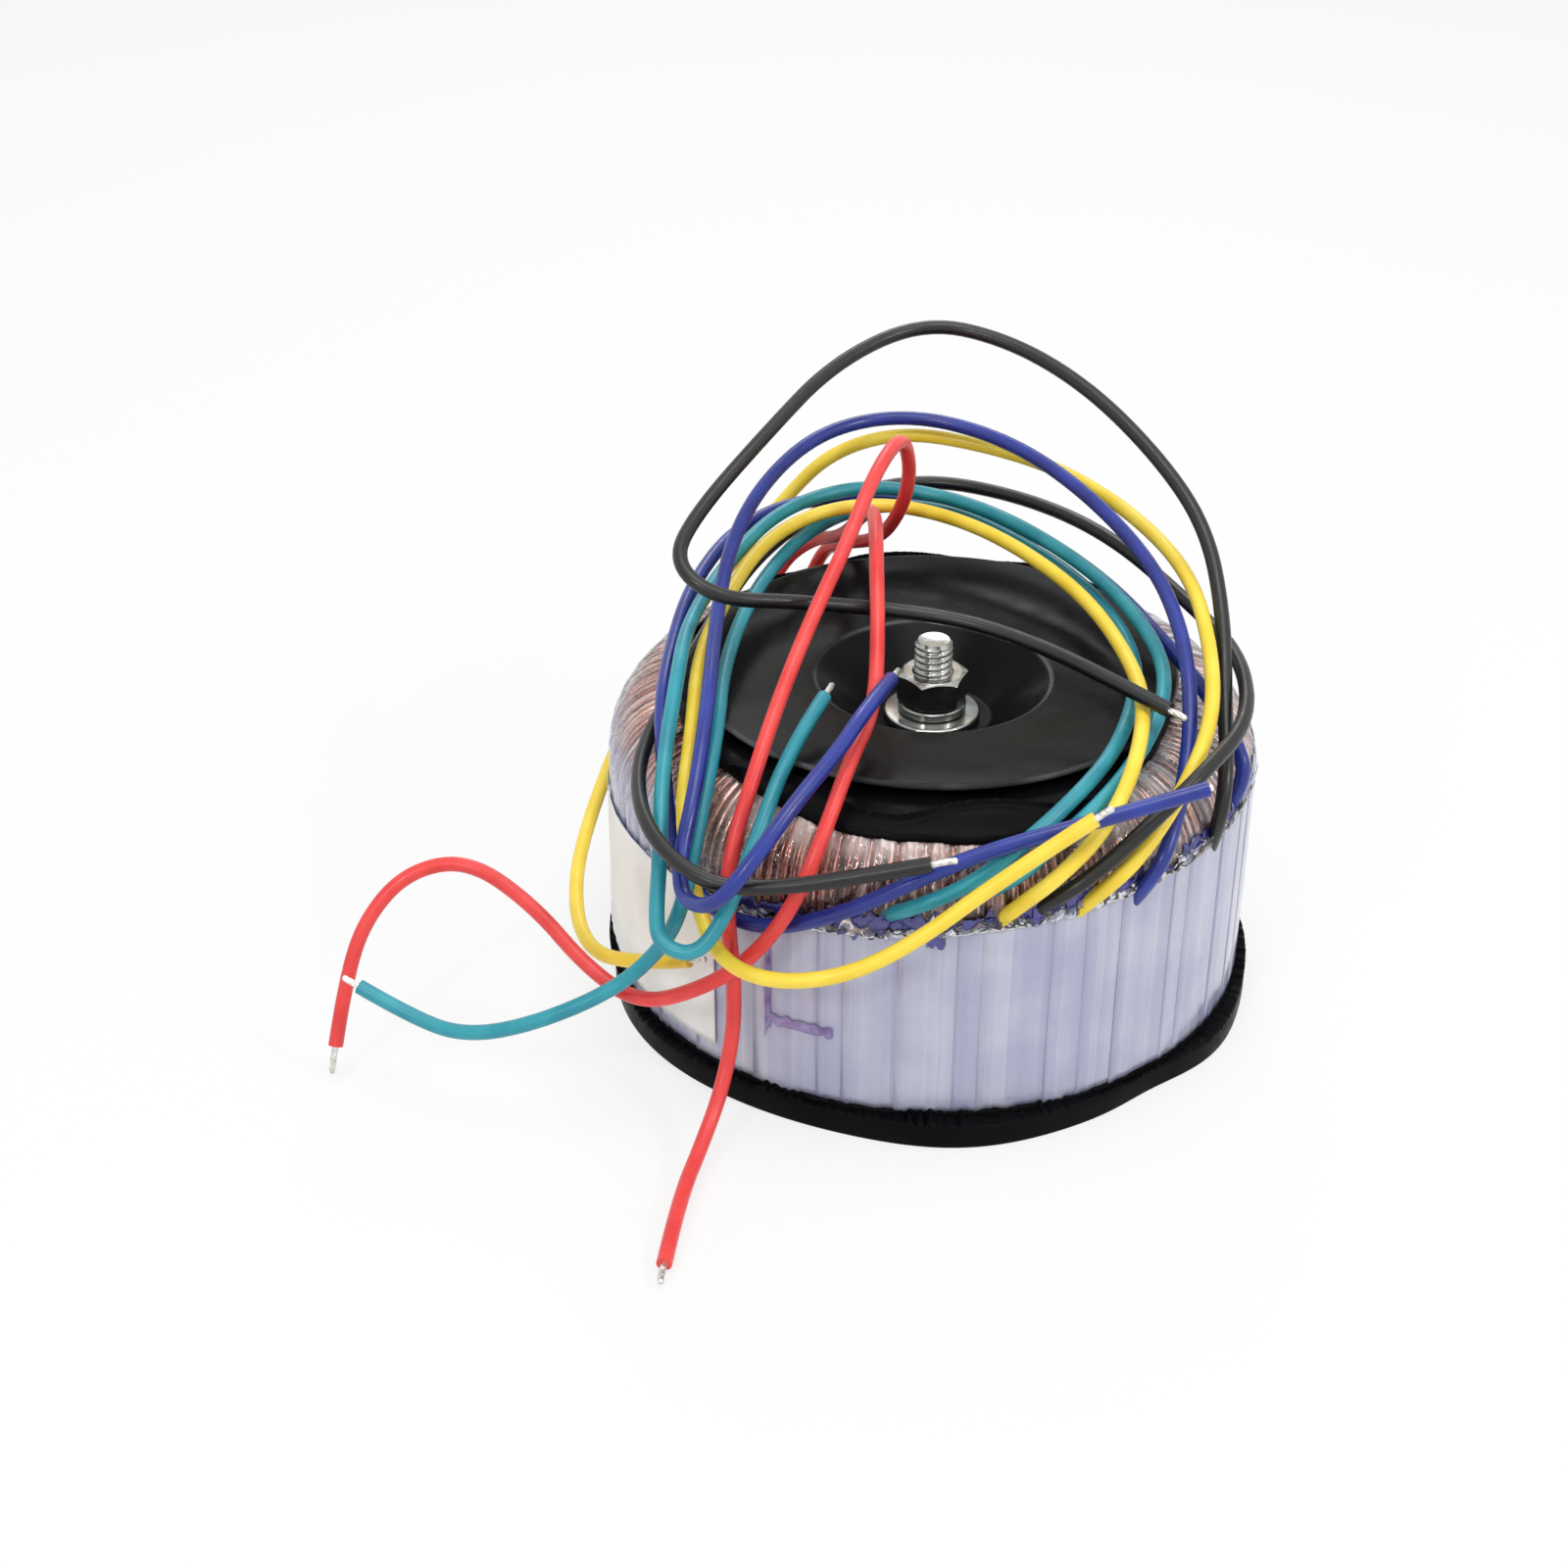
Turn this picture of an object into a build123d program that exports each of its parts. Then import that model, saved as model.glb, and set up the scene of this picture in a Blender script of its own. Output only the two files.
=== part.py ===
from build123d import *
import os
from math import atan2, cos, pi, radians, sin, sqrt, tan

os.makedirs("parts", exist_ok=True)

# Frame: millimetres, origin on the bolt's axis at the underside of the bottom pad.
# +Z up along the bolt, -Y the side the leads leave from, +X to the right of it.

# ---- wound ring: outside sizes -------------------------------------------------------
film_r = 66.8           # outside of the clear film
ring_bottom = 4.5       # underside of the wound ring
ring_top = 65.4         # top of the wound ring
hole_r = 19.0           # hole through the wound ring
top_round = 15.0        # outer top shoulder
low_round = 3.0         # outer bottom corner
bore_round = 14.0       # both edges of the hole
least_round = 1.5       # smallest corner left on the inner layers

# ---- wound ring: layers, from the outside in -----------------------------------------
film_t = 0.4
secondary_t = 4.0
between_t = 0.6
primary_t = 4.5
core_skin_t = 1.0

bundles = 72            # bundles of turns that show under the film
groove_depth = 0.25     # dip between two bundles
groove_w = 1.1
groove_low = 52.0       # the dips start above the side wrap

# ---- side wrap -----------------------------------------------------------------------
wrap_t = 0.7
strips = 46             # upright strips of tape
strip_step = 0.12       # how far strips stand above their neighbours
wrap_low, wrap_top = 5.7, 49.4
wrap_ragged = 1.1       # up and down of the strips' top ends
navy_t, navy_low, navy_top = 0.3, 43.0, 50.4
label_t, label_gap = 0.2, 0.05
label_low, label_top = 10.0, 47.5
label_start, label_end = 184.0, 233.0       # degrees round the ring from +X

# ---- bolt and what it clamps ---------------------------------------------------------
bolt_r = 4.0            # M8, at its free end
shank_r = 3.6           # the thread's mean radius, below the free end and in the nut
bolt_gap = 0.3          # round the bolt in washers, plate and pads
bolt_end = 74.4
end_chamfer = 0.8
head_af, head_h = 13.0, 5.3
head_bottom = 0.7
hex_chamfer = 0.7
plate_r, plate_t = 50.0, 1.5
plate_top = 69.6        # top of the plate's rim
cone_r, cone_top = 24.5, 66.5   # where the plate turns down into its recess
floor_r, floor_top = 12.5, 56.8
washer_r, washer_t = 10.0, 1.6
spring_r, spring_t, spring_band = 7.1, 2.2, 2.8
spring_slot = 1.2
nut_af, nut_h = 13.0, 6.6
low_washer_r, low_washer_t = 12.0, 1.6

# ---- rubber pads ---------------------------------------------------------------------
pad_r = 70.3            # bottom pad
pad_lip = 5.6           # height of its upturned rim
pad_corner = 1.2
lip_round = 0.7
dimple_t = 3.0          # pad over the bolt's head
dimple_r, dimple_slope = 13.0, 5.5
top_pad_r, top_pad_t = 54.6, 2.2
top_pad_narrow = 3.4    # narrower than that from side to side, wider from front to back
top_pad_shift = 1.85    # off the centre, away from +X
top_pad_wave = 0.6      # in and out of its cut edge

# ---- leads ---------------------------------------------------------------------------
lead_d = 3.0
tip_d = 1.3
hole_gap = 0.15         # round a lead where it leaves the winding

# ---- worked out ----------------------------------------------------------------------
wrap_r = film_r + wrap_t
head_top = head_bottom + head_h
low_washer_top = head_top + low_washer_t
washer_top = floor_top + washer_t
spring_top = washer_top + spring_t
nut_top = spring_top + nut_h
clear_r = bolt_r + bolt_gap

in_film = film_t
in_secondary = in_film + secondary_t
in_between = in_secondary + between_t
in_primary = in_between + primary_t
in_core = in_primary + core_skin_t


def ring_face(inset):
    """Section of the wound ring, with everything moved in by `inset` from the film's outside."""
    r0, r1 = hole_r + inset, film_r - inset
    z0, z1 = ring_bottom + inset, ring_top - inset
    a = max(top_round - inset, least_round)
    b = max(low_round - inset, least_round)
    c = max(bore_round - inset, least_round)
    k = 1 - sqrt(0.5)
    with BuildSketch(Plane.XZ) as section:
        with BuildLine():
            Line((r0 + c, z0), (r1 - b, z0))
            ThreePointArc((r1 - b, z0), (r1 - k * b, z0 + k * b), (r1, z0 + b))
            Line((r1, z0 + b), (r1, z1 - a))
            ThreePointArc((r1, z1 - a), (r1 - k * a, z1 - k * a), (r1 - a, z1))
            Line((r1 - a, z1), (r0 + c, z1))
            ThreePointArc((r0 + c, z1), (r0 + k * c, z1 - k * c), (r0, z1 - c))
            Line((r0, z1 - c), (r0, z0 + c))
            ThreePointArc((r0, z0 + c), (r0 + k * c, z0 + k * c), (r0 + c, z0))
        make_face()
    return section.sketch


def shell(outer, inner):
    """A layer of the ring between two insets, as a solid to add to the current part."""
    with BuildPart(mode=Mode.PRIVATE) as body:
        add(ring_face(outer))
        revolve(axis=Axis.Z)
        if inner is not None:
            add(ring_face(inner))
            revolve(axis=Axis.Z, mode=Mode.SUBTRACT)
    return body.part


def dips(outer):
    """Shallow radial dips between the bundles of turns, on the top and the shoulder."""
    with BuildPart(mode=Mode.PRIVATE) as one:
        with Locations((hole_r, 0, groove_low)):
            Box(film_r - hole_r + 1, groove_w, ring_top,
                align=(Align.MIN, Align.CENTER, Align.MIN))
        add(shell(outer, outer + groove_depth), mode=Mode.INTERSECT)
    return [loc * one.part for loc in PolarLocations(0, bundles)]


def disc(r, low, high, hole):
    """A flat round plate with a hole, such as a washer."""
    with BuildPart(Plane.XY.offset(low), mode=Mode.PRIVATE) as body:
        with BuildSketch(Plane.XY.offset(low)):
            Circle(r)
            Circle(hole, mode=Mode.SUBTRACT)
        extrude(amount=high - low)
    return body.part


def hexagon(af, low, high):
    """A hexagonal prism whose corners are turned off, as a nut's and a bolt head's are."""
    with BuildPart(mode=Mode.PRIVATE) as body:
        with BuildSketch(Plane.XY.offset(low)):
            RegularPolygon(af / 2, 6, major_radius=False, rotation=30)
        extrude(amount=high - low)
        corner = af / 2 / cos(radians(30))
        with BuildSketch(Plane.XZ):
            with BuildLine():
                Polyline((0, low), (af / 2 - 0.2, low), (corner, low + hex_chamfer),
                         (corner, high - hex_chamfer), (af / 2 - 0.2, high), (0, high), close=True)
            make_face()
        revolve(axis=Axis.Z, mode=Mode.INTERSECT)
    return body.part


# ---- leads: routes, chosen by hand ---------------------------------------------------
# Each runs from inside the winding to the end of its insulation. The last value is the
# length of bare tinned strand past that.

routes = {
    "black_lead_1": ([
        (55, -35, 48), (56, -41, 58), (57, -35, 67), (57, -22, 74), (57, -8, 85), (54, 7, 97),
        (45, 21, 106), (30, 38, 115), (13, 51, 120), (-5, 55, 122), (-23, 40, 118),
        (-36, 19, 110), (-48, 1, 101), (-52, -12, 96), (-43, -18, 91), (-28, -12, 88),
        (-11, -6, 84), (6, -8, 83), (21, -16, 82), (34, -27, 81), (45, -35, 79)], 4),
    "black_lead_2": ([
        (20, -62, 50), (26, -65, 56), (34, -61, 61), (43, -55, 68), (51, -48, 73),
        (61, -31, 75), (61, -10, 78), (52, 11, 79), (37, 36, 82), (19, 57, 81), (-4, 66, 81),
        (-23, 60, 78), (-39, 37, 75), (-46, 8, 73), (-51, -16, 71), (-57, -38, 66),
        (-53, -60, 64), (-42, -71, 60), (-31, -72, 59), (-15, -72, 62), (1, -72, 66)], 5),
    "blue_lead_1": ([
        (39, -52, 46), (43, -56, 55), (46, -51, 61), (49, -38, 68), (50, -27, 76),
        (49, -11, 83), (44, 7, 89), (32, 26, 95), (17, 43, 99), (0, 52, 101), (-15, 52, 101),
        (-28, 42, 100), (-38, 26, 95), (-43, 10, 88), (-44, -8, 80), (-43, -37, 76),
        (-44, -54, 67), (-46, -62, 59), (-45, -69, 54), (-38, -77, 58), (-31, -74, 67),
        (-24, -65, 74), (-17, -53, 78), (-12, -41, 81), (-8, -28, 80)], 5),
    "blue_lead_2": ([
        (59, -27, 53), (62, -28, 60), (60, -23, 66), (54, -11, 71), (46, 3, 75), (36, 26, 76),
        (22, 46, 77), (5, 56, 79), (-13, 57, 80), (-31, 50, 82), (-44, 36, 81), (-51, 12, 79),
        (-53, -10, 75), (-53, -28, 73), (-51, -42, 65), (-49, -50, 55), (-45, -54, 47),
        (-38, -59, 44), (-28, -64, 45), (-14, -69, 53), (-1, -69, 61), (12, -66, 66),
        (31, -63, 71), (51, -57, 75)], 1),
    "teal_lead_1": ([
        (12, -63, 55), (17, -66, 60), (23, -61, 64), (31, -54, 68), (39, -41, 71),
        (45, -25, 74), (46, -8, 76), (39, 11, 79), (28, 28, 81), (14, 42, 83), (-1, 51, 84),
        (-18, 52, 85), (-34, 41, 84), (-44, 20, 81), (-50, -5, 79), (-50, -26, 77),
        (-51, -46, 67), (-50, -60, 57), (-50, -68, 50), (-49, -72, 46), (-42, -74, 45),
        (-37, -70, 51), (-32, -62, 62), (-27, -46, 73), (-21, -27, 75)], 5),
    "teal_lead_2": ([
        (-7, -65, 50), (-2, -70, 55), (8, -68, 59), (18, -62, 65), (28, -52, 70),
        (36, -37, 72), (41, -13, 73), (39, 4, 75), (31, 25, 76), (18, 40, 78), (2, 52, 80),
        (-16, 53, 80), (-29, 40, 79), (-38, 15, 77), (-42, -12, 74), (-41, -38, 72),
        (-43, -54, 62), (-45, -65, 51), (-49, -65, 41), (-58, -67, 32), (-74, -70, 25),
        (-88, -68, 20), (-99, -64, 21), (-110, -60, 25)], 4),
    "yellow_lead_1": ([
        (13, -64, 48), (18, -67, 55), (24, -66, 60), (32, -60, 66), (38, -49, 73),
        (41, -31, 77), (39, -11, 77), (31, 10, 80), (17, 27, 83), (3, 39, 84), (-12, 45, 84),
        (-26, 40, 84), (-37, 28, 82), (-43, 8, 79), (-47, -14, 76), (-46, -37, 71),
        (-47, -50, 62), (-44, -58, 49), (-39, -69, 42), (-29, -77, 42), (-15, -79, 45),
        (-2, -76, 51), (14, -71, 63), (30, -69, 75)], 4),
    "yellow_lead_2": ([
        (28, -59, 48), (34, -62, 56), (41, -56, 61), (49, -45, 70), (54, -31, 76),
        (54, -16, 83), (51, 4, 89), (41, 27, 91), (26, 43, 94), (8, 51, 96), (-9, 54, 97),
        (-24, 56, 91), (-34, 59, 79), (-45, 59, 64), (-57, 49, 50), (-67, 27, 39),
        (-72, -1, 31), (-73, -22, 27), (-69, -41, 25), (-60, -52, 27), (-45, -58, 33)], 4),
    "red_lead_1": ([
        (-40, 51, 54), (-36, 58, 62), (-28, 56, 70), (-21, 46, 75), (-16, 35, 86),
        (-13, 17, 95), (-12, -3, 93), (-11, -17, 83), (-11, -31, 75), (-15, -50, 74),
        (-19, -63, 66), (-24, -69, 54), (-32, -68, 41), (-42, -66, 32), (-54, -65, 27),
        (-65, -59, 31), (-77, -47, 37), (-91, -39, 42), (-103, -41, 40), (-111, -46, 32),
        (-115, -51, 21), (-117, -57, 8)], 6),
    "red_lead_2": ([
        (-30, 57, 55), (-27, 62, 64), (-21, 54, 70), (-13, 43, 76), (-8, 34, 87),
        (-6, 31, 98), (-8, 27, 108), (-13, 9, 107), (-18, -7, 98), (-24, -22, 89),
        (-29, -37, 80), (-33, -52, 71), (-37, -61, 58), (-37, -64, 47), (-36, -63, 34),
        (-36, -64, 21), (-38, -70, 11), (-41, -79, 5), (-44, -93, 3), (-45, -110, 2)], 5),
}


def corner_radii(points):
    """Radius at each inner point: its arc takes at most 0.45 of the shorter run beside it."""
    radii = []
    for before, here, after in zip(points, points[1:], points[2:]):
        run_in, run_out = Vector(here) - Vector(before), Vector(after) - Vector(here)
        turn = radians(run_in.get_angle(run_out))
        radii.append(0.45 * min(run_in.length, run_out.length) / tan(turn / 2))
    return radii


def lead_path(points):
    """Straight runs joined by arcs that touch them."""
    with BuildLine(mode=Mode.PRIVATE) as line:
        FilletPolyline(*points, radius=corner_radii(points))
    return line.wires()[0]


def exit_holes():
    """Round holes along each lead's first run, where it comes up through the layers."""
    with BuildPart(mode=Mode.PRIVATE) as holes:
        for points, _ in routes.values():
            run = Vector(points[1]) - Vector(points[0])
            with BuildSketch(Plane(origin=points[0], z_dir=run)):
                Circle(lead_d / 2 + hole_gap)
            extrude(amount=run.length)
    return holes.part


holes = exit_holes()
film_dips, winding_dips = dips(0), dips(in_film)

# ---- core and windings ---------------------------------------------------------------
with BuildPart() as steel_core:
    add(shell(in_core, None))
steel_core.part.label = "steel_core"

with BuildPart() as core_insulation:
    add(shell(in_primary, in_core))
core_insulation.part.label = "core_insulation"

with BuildPart() as primary_winding:
    add(shell(in_between, in_primary))
primary_winding.part.label = "primary_winding"

with BuildPart() as interwinding_insulation:
    add(shell(in_secondary, in_between))
interwinding_insulation.part.label = "interwinding_insulation"

with BuildPart() as secondary_winding:
    add(shell(in_film, in_secondary))
    add(winding_dips, mode=Mode.SUBTRACT)
    add(holes, mode=Mode.SUBTRACT)
secondary_winding.part.label = "secondary_winding"

# The film is drawn tight over the bundles, so it dips with them.
with BuildPart() as clear_film:
    add(shell(0, in_film))
    add(winding_dips)
    add(film_dips, mode=Mode.SUBTRACT)
    add(holes, mode=Mode.SUBTRACT)
clear_film.part.label = "clear_film"

# ---- side wrap -----------------------------------------------------------------------
with BuildPart() as navy_tape:
    add(disc(film_r + navy_t, navy_low, navy_top, film_r))
    add(holes, mode=Mode.SUBTRACT)
navy_tape.part.label = "navy_tape"


def sector(r0, r1, start, end):
    """Part of a flat ring between two angles, in degrees."""
    def at(r, a):
        return (r * cos(radians(a)), r * sin(radians(a)))
    middle = (start + end) / 2
    with BuildSketch() as face:
        with BuildLine():
            ThreePointArc(at(r1, start), at(r1, middle), at(r1, end))
            Line(at(r1, end), at(r0, end))
            ThreePointArc(at(r0, end), at(r0, middle), at(r0, start))
            Line(at(r0, start), at(r1, start))
        make_face()
    return face.sketch


def strip_edges():
    """Angles where the strips start: their widths vary a little round the ring."""
    even = 360 / strips
    return [even * (i + 0.28 * sin(2.4 * i)) for i in range(strips)]


with BuildPart() as side_wrap:
    edges = strip_edges()
    for i in range(strips):
        end = edges[i + 1] if i + 1 < strips else edges[0] + 360
        face = sector(film_r, wrap_r - strip_step * (i % 2), edges[i], end)
        top = wrap_top + wrap_ragged * sin(1.9 * i)
        with Locations((0, 0, wrap_low)):
            add(extrude(face, amount=top - wrap_low, mode=Mode.PRIVATE))
    add(navy_tape.part, mode=Mode.SUBTRACT)
    add(holes, mode=Mode.SUBTRACT)
side_wrap.part.label = "side_wrap"

with BuildPart() as blank_label:
    face = sector(wrap_r + label_gap, wrap_r + label_gap + label_t, label_start, label_end)
    with Locations((0, 0, label_low)):
        add(extrude(face, amount=label_top - label_low, mode=Mode.PRIVATE))
blank_label.part.label = "blank_label"

# ---- pads ----------------------------------------------------------------------------
with BuildPart() as bottom_pad:
    dimple_bottom = low_washer_top
    foot_r = dimple_r + dimple_slope
    lip_r = film_r - low_round + sqrt(low_round ** 2 - (ring_bottom + low_round - pad_lip) ** 2)
    k = 1 - sqrt(0.5)
    with BuildSketch(Plane.XZ):
        with BuildLine():
            Line((foot_r, 0), (pad_r - pad_corner, 0))
            ThreePointArc((pad_r - pad_corner, 0), (pad_r - k * pad_corner, k * pad_corner),
                          (pad_r, pad_corner))
            Line((pad_r, pad_corner), (pad_r, pad_lip - lip_round))
            ThreePointArc((pad_r, pad_lip - lip_round), (pad_r - k * lip_round, pad_lip - k * lip_round),
                          (pad_r - lip_round, pad_lip))
            Line((pad_r - lip_round, pad_lip), (lip_r, pad_lip))
            low_mid = radians(-60)
            ThreePointArc((lip_r, pad_lip),
                          (film_r - low_round + low_round * cos(low_mid),
                           ring_bottom + low_round + low_round * sin(low_mid)),
                          (film_r - low_round, ring_bottom))
            Line((film_r - low_round, ring_bottom), (foot_r + 2, ring_bottom))
            Line((foot_r + 2, ring_bottom), (dimple_r, dimple_bottom + dimple_t))
            Line((dimple_r, dimple_bottom + dimple_t), (clear_r, dimple_bottom + dimple_t))
            Line((clear_r, dimple_bottom + dimple_t), (clear_r, dimple_bottom))
            Line((clear_r, dimple_bottom), (dimple_r, dimple_bottom))
            Line((dimple_r, dimple_bottom), (foot_r, 0))
        make_face()
    revolve(axis=Axis.Z)
bottom_pad.part.label = "bottom_pad"


def plate_under(r):
    """Height of the plate's underside on its cone."""
    slope = (plate_top - cone_top) / (plate_r - cone_r)
    return cone_top - plate_t + slope * (r - cone_r)


def pad_outline():
    """The top pad's cut edge: an oval that wanders in and out."""
    points = []
    for a in (2 * pi * i / 40 for i in range(40)):
        oval = top_pad_r - top_pad_narrow * cos(2 * a) - top_pad_shift * cos(a)
        r = oval + top_pad_wave * sin(5 * a) * cos(2 * a + 1)
        points.append((r * cos(a), r * sin(a)))
    return points


with BuildPart() as top_pad:
    shoulder_r, shoulder_z = film_r - top_round, ring_top - top_round
    pad_top = ring_top + top_pad_t
    slope = (plate_top - cone_top) / (plate_r - cone_r)
    meet_r = cone_r + (pad_top - cone_top + plate_t) / slope
    inner_r = hole_r + bore_round
    outer_a = radians(56)

    def on_shoulder(radius, angle):
        return (shoulder_r + radius * cos(angle), shoulder_z + radius * sin(angle))

    top_r = top_round + top_pad_t
    with BuildSketch(Plane.XZ):
        with BuildLine():
            Line((inner_r, ring_top), (shoulder_r, ring_top))
            ThreePointArc((shoulder_r, ring_top), on_shoulder(top_round, radians(73)),
                          on_shoulder(top_round, outer_a))
            Line(on_shoulder(top_round, outer_a), on_shoulder(top_r, outer_a))
            ThreePointArc(on_shoulder(top_r, outer_a), on_shoulder(top_r, radians(73)),
                          (shoulder_r, pad_top))
            Line((shoulder_r, pad_top), (meet_r, pad_top))
            Line((meet_r, pad_top), (inner_r, plate_under(inner_r)))
            Line((inner_r, plate_under(inner_r)), (inner_r, ring_top))
        make_face()
    revolve(axis=Axis.Z)
    with BuildSketch(Plane.XY.offset(shoulder_z)):
        with BuildLine():
            Spline(*pad_outline(), periodic=True)
        make_face()
    extrude(amount=top_round + 2 * top_pad_t, mode=Mode.INTERSECT)
top_pad.part.label = "top_pad"

# ---- plate, bolt, washers and nut ----------------------------------------------------
with BuildPart() as dished_plate:
    wall = atan2(cone_top - floor_top, cone_r - floor_r)
    low_out = plate_t * tan(wall / 2)       # the underside's corners lie this far out
    with BuildSketch(Plane.XZ):
        with BuildLine():
            Polyline((clear_r, floor_top), (floor_r, floor_top), (cone_r, cone_top),
                     (plate_r, plate_top), (plate_r, plate_top - plate_t),
                     (cone_r + low_out, plate_under(cone_r + low_out)),
                     (floor_r + low_out, floor_top - plate_t), (clear_r, floor_top - plate_t),
                     close=True)
        make_face()
    revolve(axis=Axis.Z)
dished_plate.part.label = "dished_plate"

with BuildPart() as flat_washer:
    add(disc(washer_r, floor_top, washer_top, clear_r))
    fillet(flat_washer.faces().sort_by(Axis.Z)[-1].outer_wire().edges(), 0.4)
flat_washer.part.label = "flat_washer"

with BuildPart() as spring_washer:
    add(disc(spring_r, washer_top, spring_top, spring_r - spring_band))
    split_plane = Plane(origin=(0, spring_r - spring_band / 2, washer_top + spring_t / 2),
                        x_dir=(1, 0, 0.5), z_dir=(0, 1, 0))
    with BuildSketch(split_plane):
        Rectangle(spring_slot, 3 * spring_t, rotation=20)
    extrude(amount=spring_band, both=True, mode=Mode.SUBTRACT)
spring_washer.part.label = "spring_washer"

with BuildPart() as hex_nut:
    add(hexagon(nut_af, spring_top, nut_top))
    with BuildSketch(Plane.XY.offset(spring_top)):
        Circle(shank_r)
    extrude(amount=nut_h, mode=Mode.SUBTRACT)
hex_nut.part.label = "hex_nut"

with BuildPart() as bottom_washer:
    add(disc(low_washer_r, head_top, low_washer_top, clear_r))
bottom_washer.part.label = "bottom_washer"

with BuildPart() as bolt:
    add(hexagon(head_af, head_bottom, head_top))
    with BuildSketch(Plane.XY.offset(head_top)):
        Circle(shank_r)
    extrude(amount=nut_top - head_top)
    with BuildSketch(Plane.XY.offset(nut_top)):
        Circle(bolt_r)
    extrude(amount=bolt_end - nut_top)
    chamfer(bolt.faces().sort_by(Axis.Z)[-1].edges(), end_chamfer)
bolt.part.label = "bolt"

pieces = [steel_core, core_insulation, primary_winding, interwinding_insulation,
          secondary_winding, clear_film, navy_tape, side_wrap, blank_label, bottom_pad,
          top_pad, dished_plate, flat_washer, spring_washer, hex_nut, bottom_washer, bolt]
for piece in pieces:
    export_step(piece.part, f"parts/{piece.part.label}.step")
    print(f"{piece.part.label}: {len(piece.part.solids())} solid, {piece.part.volume:.0f} mm3")

# ---- leads ---------------------------------------------------------------------------
for name, (points, bare) in routes.items():
    path = lead_path(points)
    with BuildPart() as lead:
        with BuildSketch(Plane(origin=path @ 0, z_dir=path % 0)):
            Circle(lead_d / 2)
        sweep(path=path)
    lead.part.label = name
    export_step(lead.part, f"parts/{name}.step")

    with BuildPart() as tip:
        with BuildSketch(Plane(origin=path @ 1, z_dir=path % 1)):
            Circle(tip_d / 2)
        extrude(amount=bare)
    tip.part.label = name + "_tip"
    export_step(tip.part, f"parts/{name}_tip.step")

    expected = pi * lead_d ** 2 / 4 * path.length
    radii = ", ".join(f"{r:.0f}" for r in corner_radii(points))
    print(f"{name}: {path.length:.0f} mm, volume {lead.part.volume / expected:.3f} of expected,"
          f" radii {radii}")
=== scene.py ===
"""A toroidal transformer: leads, copper turns under film, a milky side wrap, pads and a plate."""
from math import asin, atan2, cos, exp, pi, radians, sin, sqrt, tan

import bmesh
import bpy
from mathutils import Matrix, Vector, noise


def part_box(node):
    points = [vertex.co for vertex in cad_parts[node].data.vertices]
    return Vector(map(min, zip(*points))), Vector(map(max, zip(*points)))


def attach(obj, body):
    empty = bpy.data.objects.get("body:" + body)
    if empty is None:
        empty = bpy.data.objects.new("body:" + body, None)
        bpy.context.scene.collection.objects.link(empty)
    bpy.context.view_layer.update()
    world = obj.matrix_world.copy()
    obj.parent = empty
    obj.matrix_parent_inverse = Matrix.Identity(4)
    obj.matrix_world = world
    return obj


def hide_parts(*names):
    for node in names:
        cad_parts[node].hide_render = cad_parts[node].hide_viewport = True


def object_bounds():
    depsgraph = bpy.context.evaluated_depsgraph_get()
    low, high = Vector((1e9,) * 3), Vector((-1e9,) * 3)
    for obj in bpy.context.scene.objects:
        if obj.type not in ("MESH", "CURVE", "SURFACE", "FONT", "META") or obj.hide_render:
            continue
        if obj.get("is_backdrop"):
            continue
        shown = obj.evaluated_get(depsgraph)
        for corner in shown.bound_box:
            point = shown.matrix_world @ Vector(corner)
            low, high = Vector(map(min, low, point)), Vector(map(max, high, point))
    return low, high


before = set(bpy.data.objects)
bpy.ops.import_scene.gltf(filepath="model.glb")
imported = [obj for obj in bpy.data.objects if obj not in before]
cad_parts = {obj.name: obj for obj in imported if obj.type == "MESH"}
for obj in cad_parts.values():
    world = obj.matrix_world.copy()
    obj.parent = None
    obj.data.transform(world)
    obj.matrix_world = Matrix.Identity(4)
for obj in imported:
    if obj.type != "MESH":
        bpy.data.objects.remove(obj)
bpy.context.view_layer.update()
scene = bpy.context.scene
MM = 0.001
turn = 2 * pi

# ---- sizes, in millimetres unless a line says otherwise --
film_r, film_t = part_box("clear_film")[1].x / MM, 0.4
ring_bottom, ring_top = (corner.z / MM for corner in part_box("clear_film"))
hole_r, top_round, low_round, bore_round, least_round = 19.0, 15.0, 3.0, 14.0, 1.5
shoulder_low = ring_top - top_round
bundles = 72
wrap_low, wrap_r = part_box("side_wrap")[0].z / MM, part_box("side_wrap")[1].x / MM
wrap_top, strips, strip_t = 49.4, 46, 0.08
wrap_tilt, wrap_high_at = 5.4, radians(12)       # the wrap's top edge climbs on one side
navy_low, navy_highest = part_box("navy_tape")[0].z / MM, 55.5
label_low, label_high = (corner.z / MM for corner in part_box("blank_label"))
pad_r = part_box("bottom_pad")[1].x / MM
plate_r, plate_top = (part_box("dished_plate")[1][axis] / MM for axis in (0, 2))
plate_t, cone_r, cone_top, floor_r, floor_top = 1.5, 24.5, 66.5, 12.5, 56.8
bolt_r, thread_pitch, bolt_end = 4.0, 1.45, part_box("bolt")[1].z / MM
nut_low, nut_top = (corner.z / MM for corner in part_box("hex_nut"))
nut_af = 13.0                                    # across the flats
bolt_hole_r, bolt_hole_bevel = 4.3, 0.2
lead_r, strand_r = 1.5, 0.65


def put(name, data):
    """A new object in the scene."""
    made = bpy.data.objects.new(name, data)
    scene.collection.objects.link(made)
    return made


# ---- camera ----------------------------------------------
camera = put("camera", bpy.data.cameras.new("camera"))
camera.location = (0, -0.44707, 0.30669)
camera.rotation_euler = Vector((-0.058786, 0.856231, -0.513237)).to_track_quat("-Z", "Y").to_euler()
camera.data.sensor_width = 36
camera.data.lens = 56.51
camera.data.clip_start = 0.01
scene.camera = camera


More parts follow.
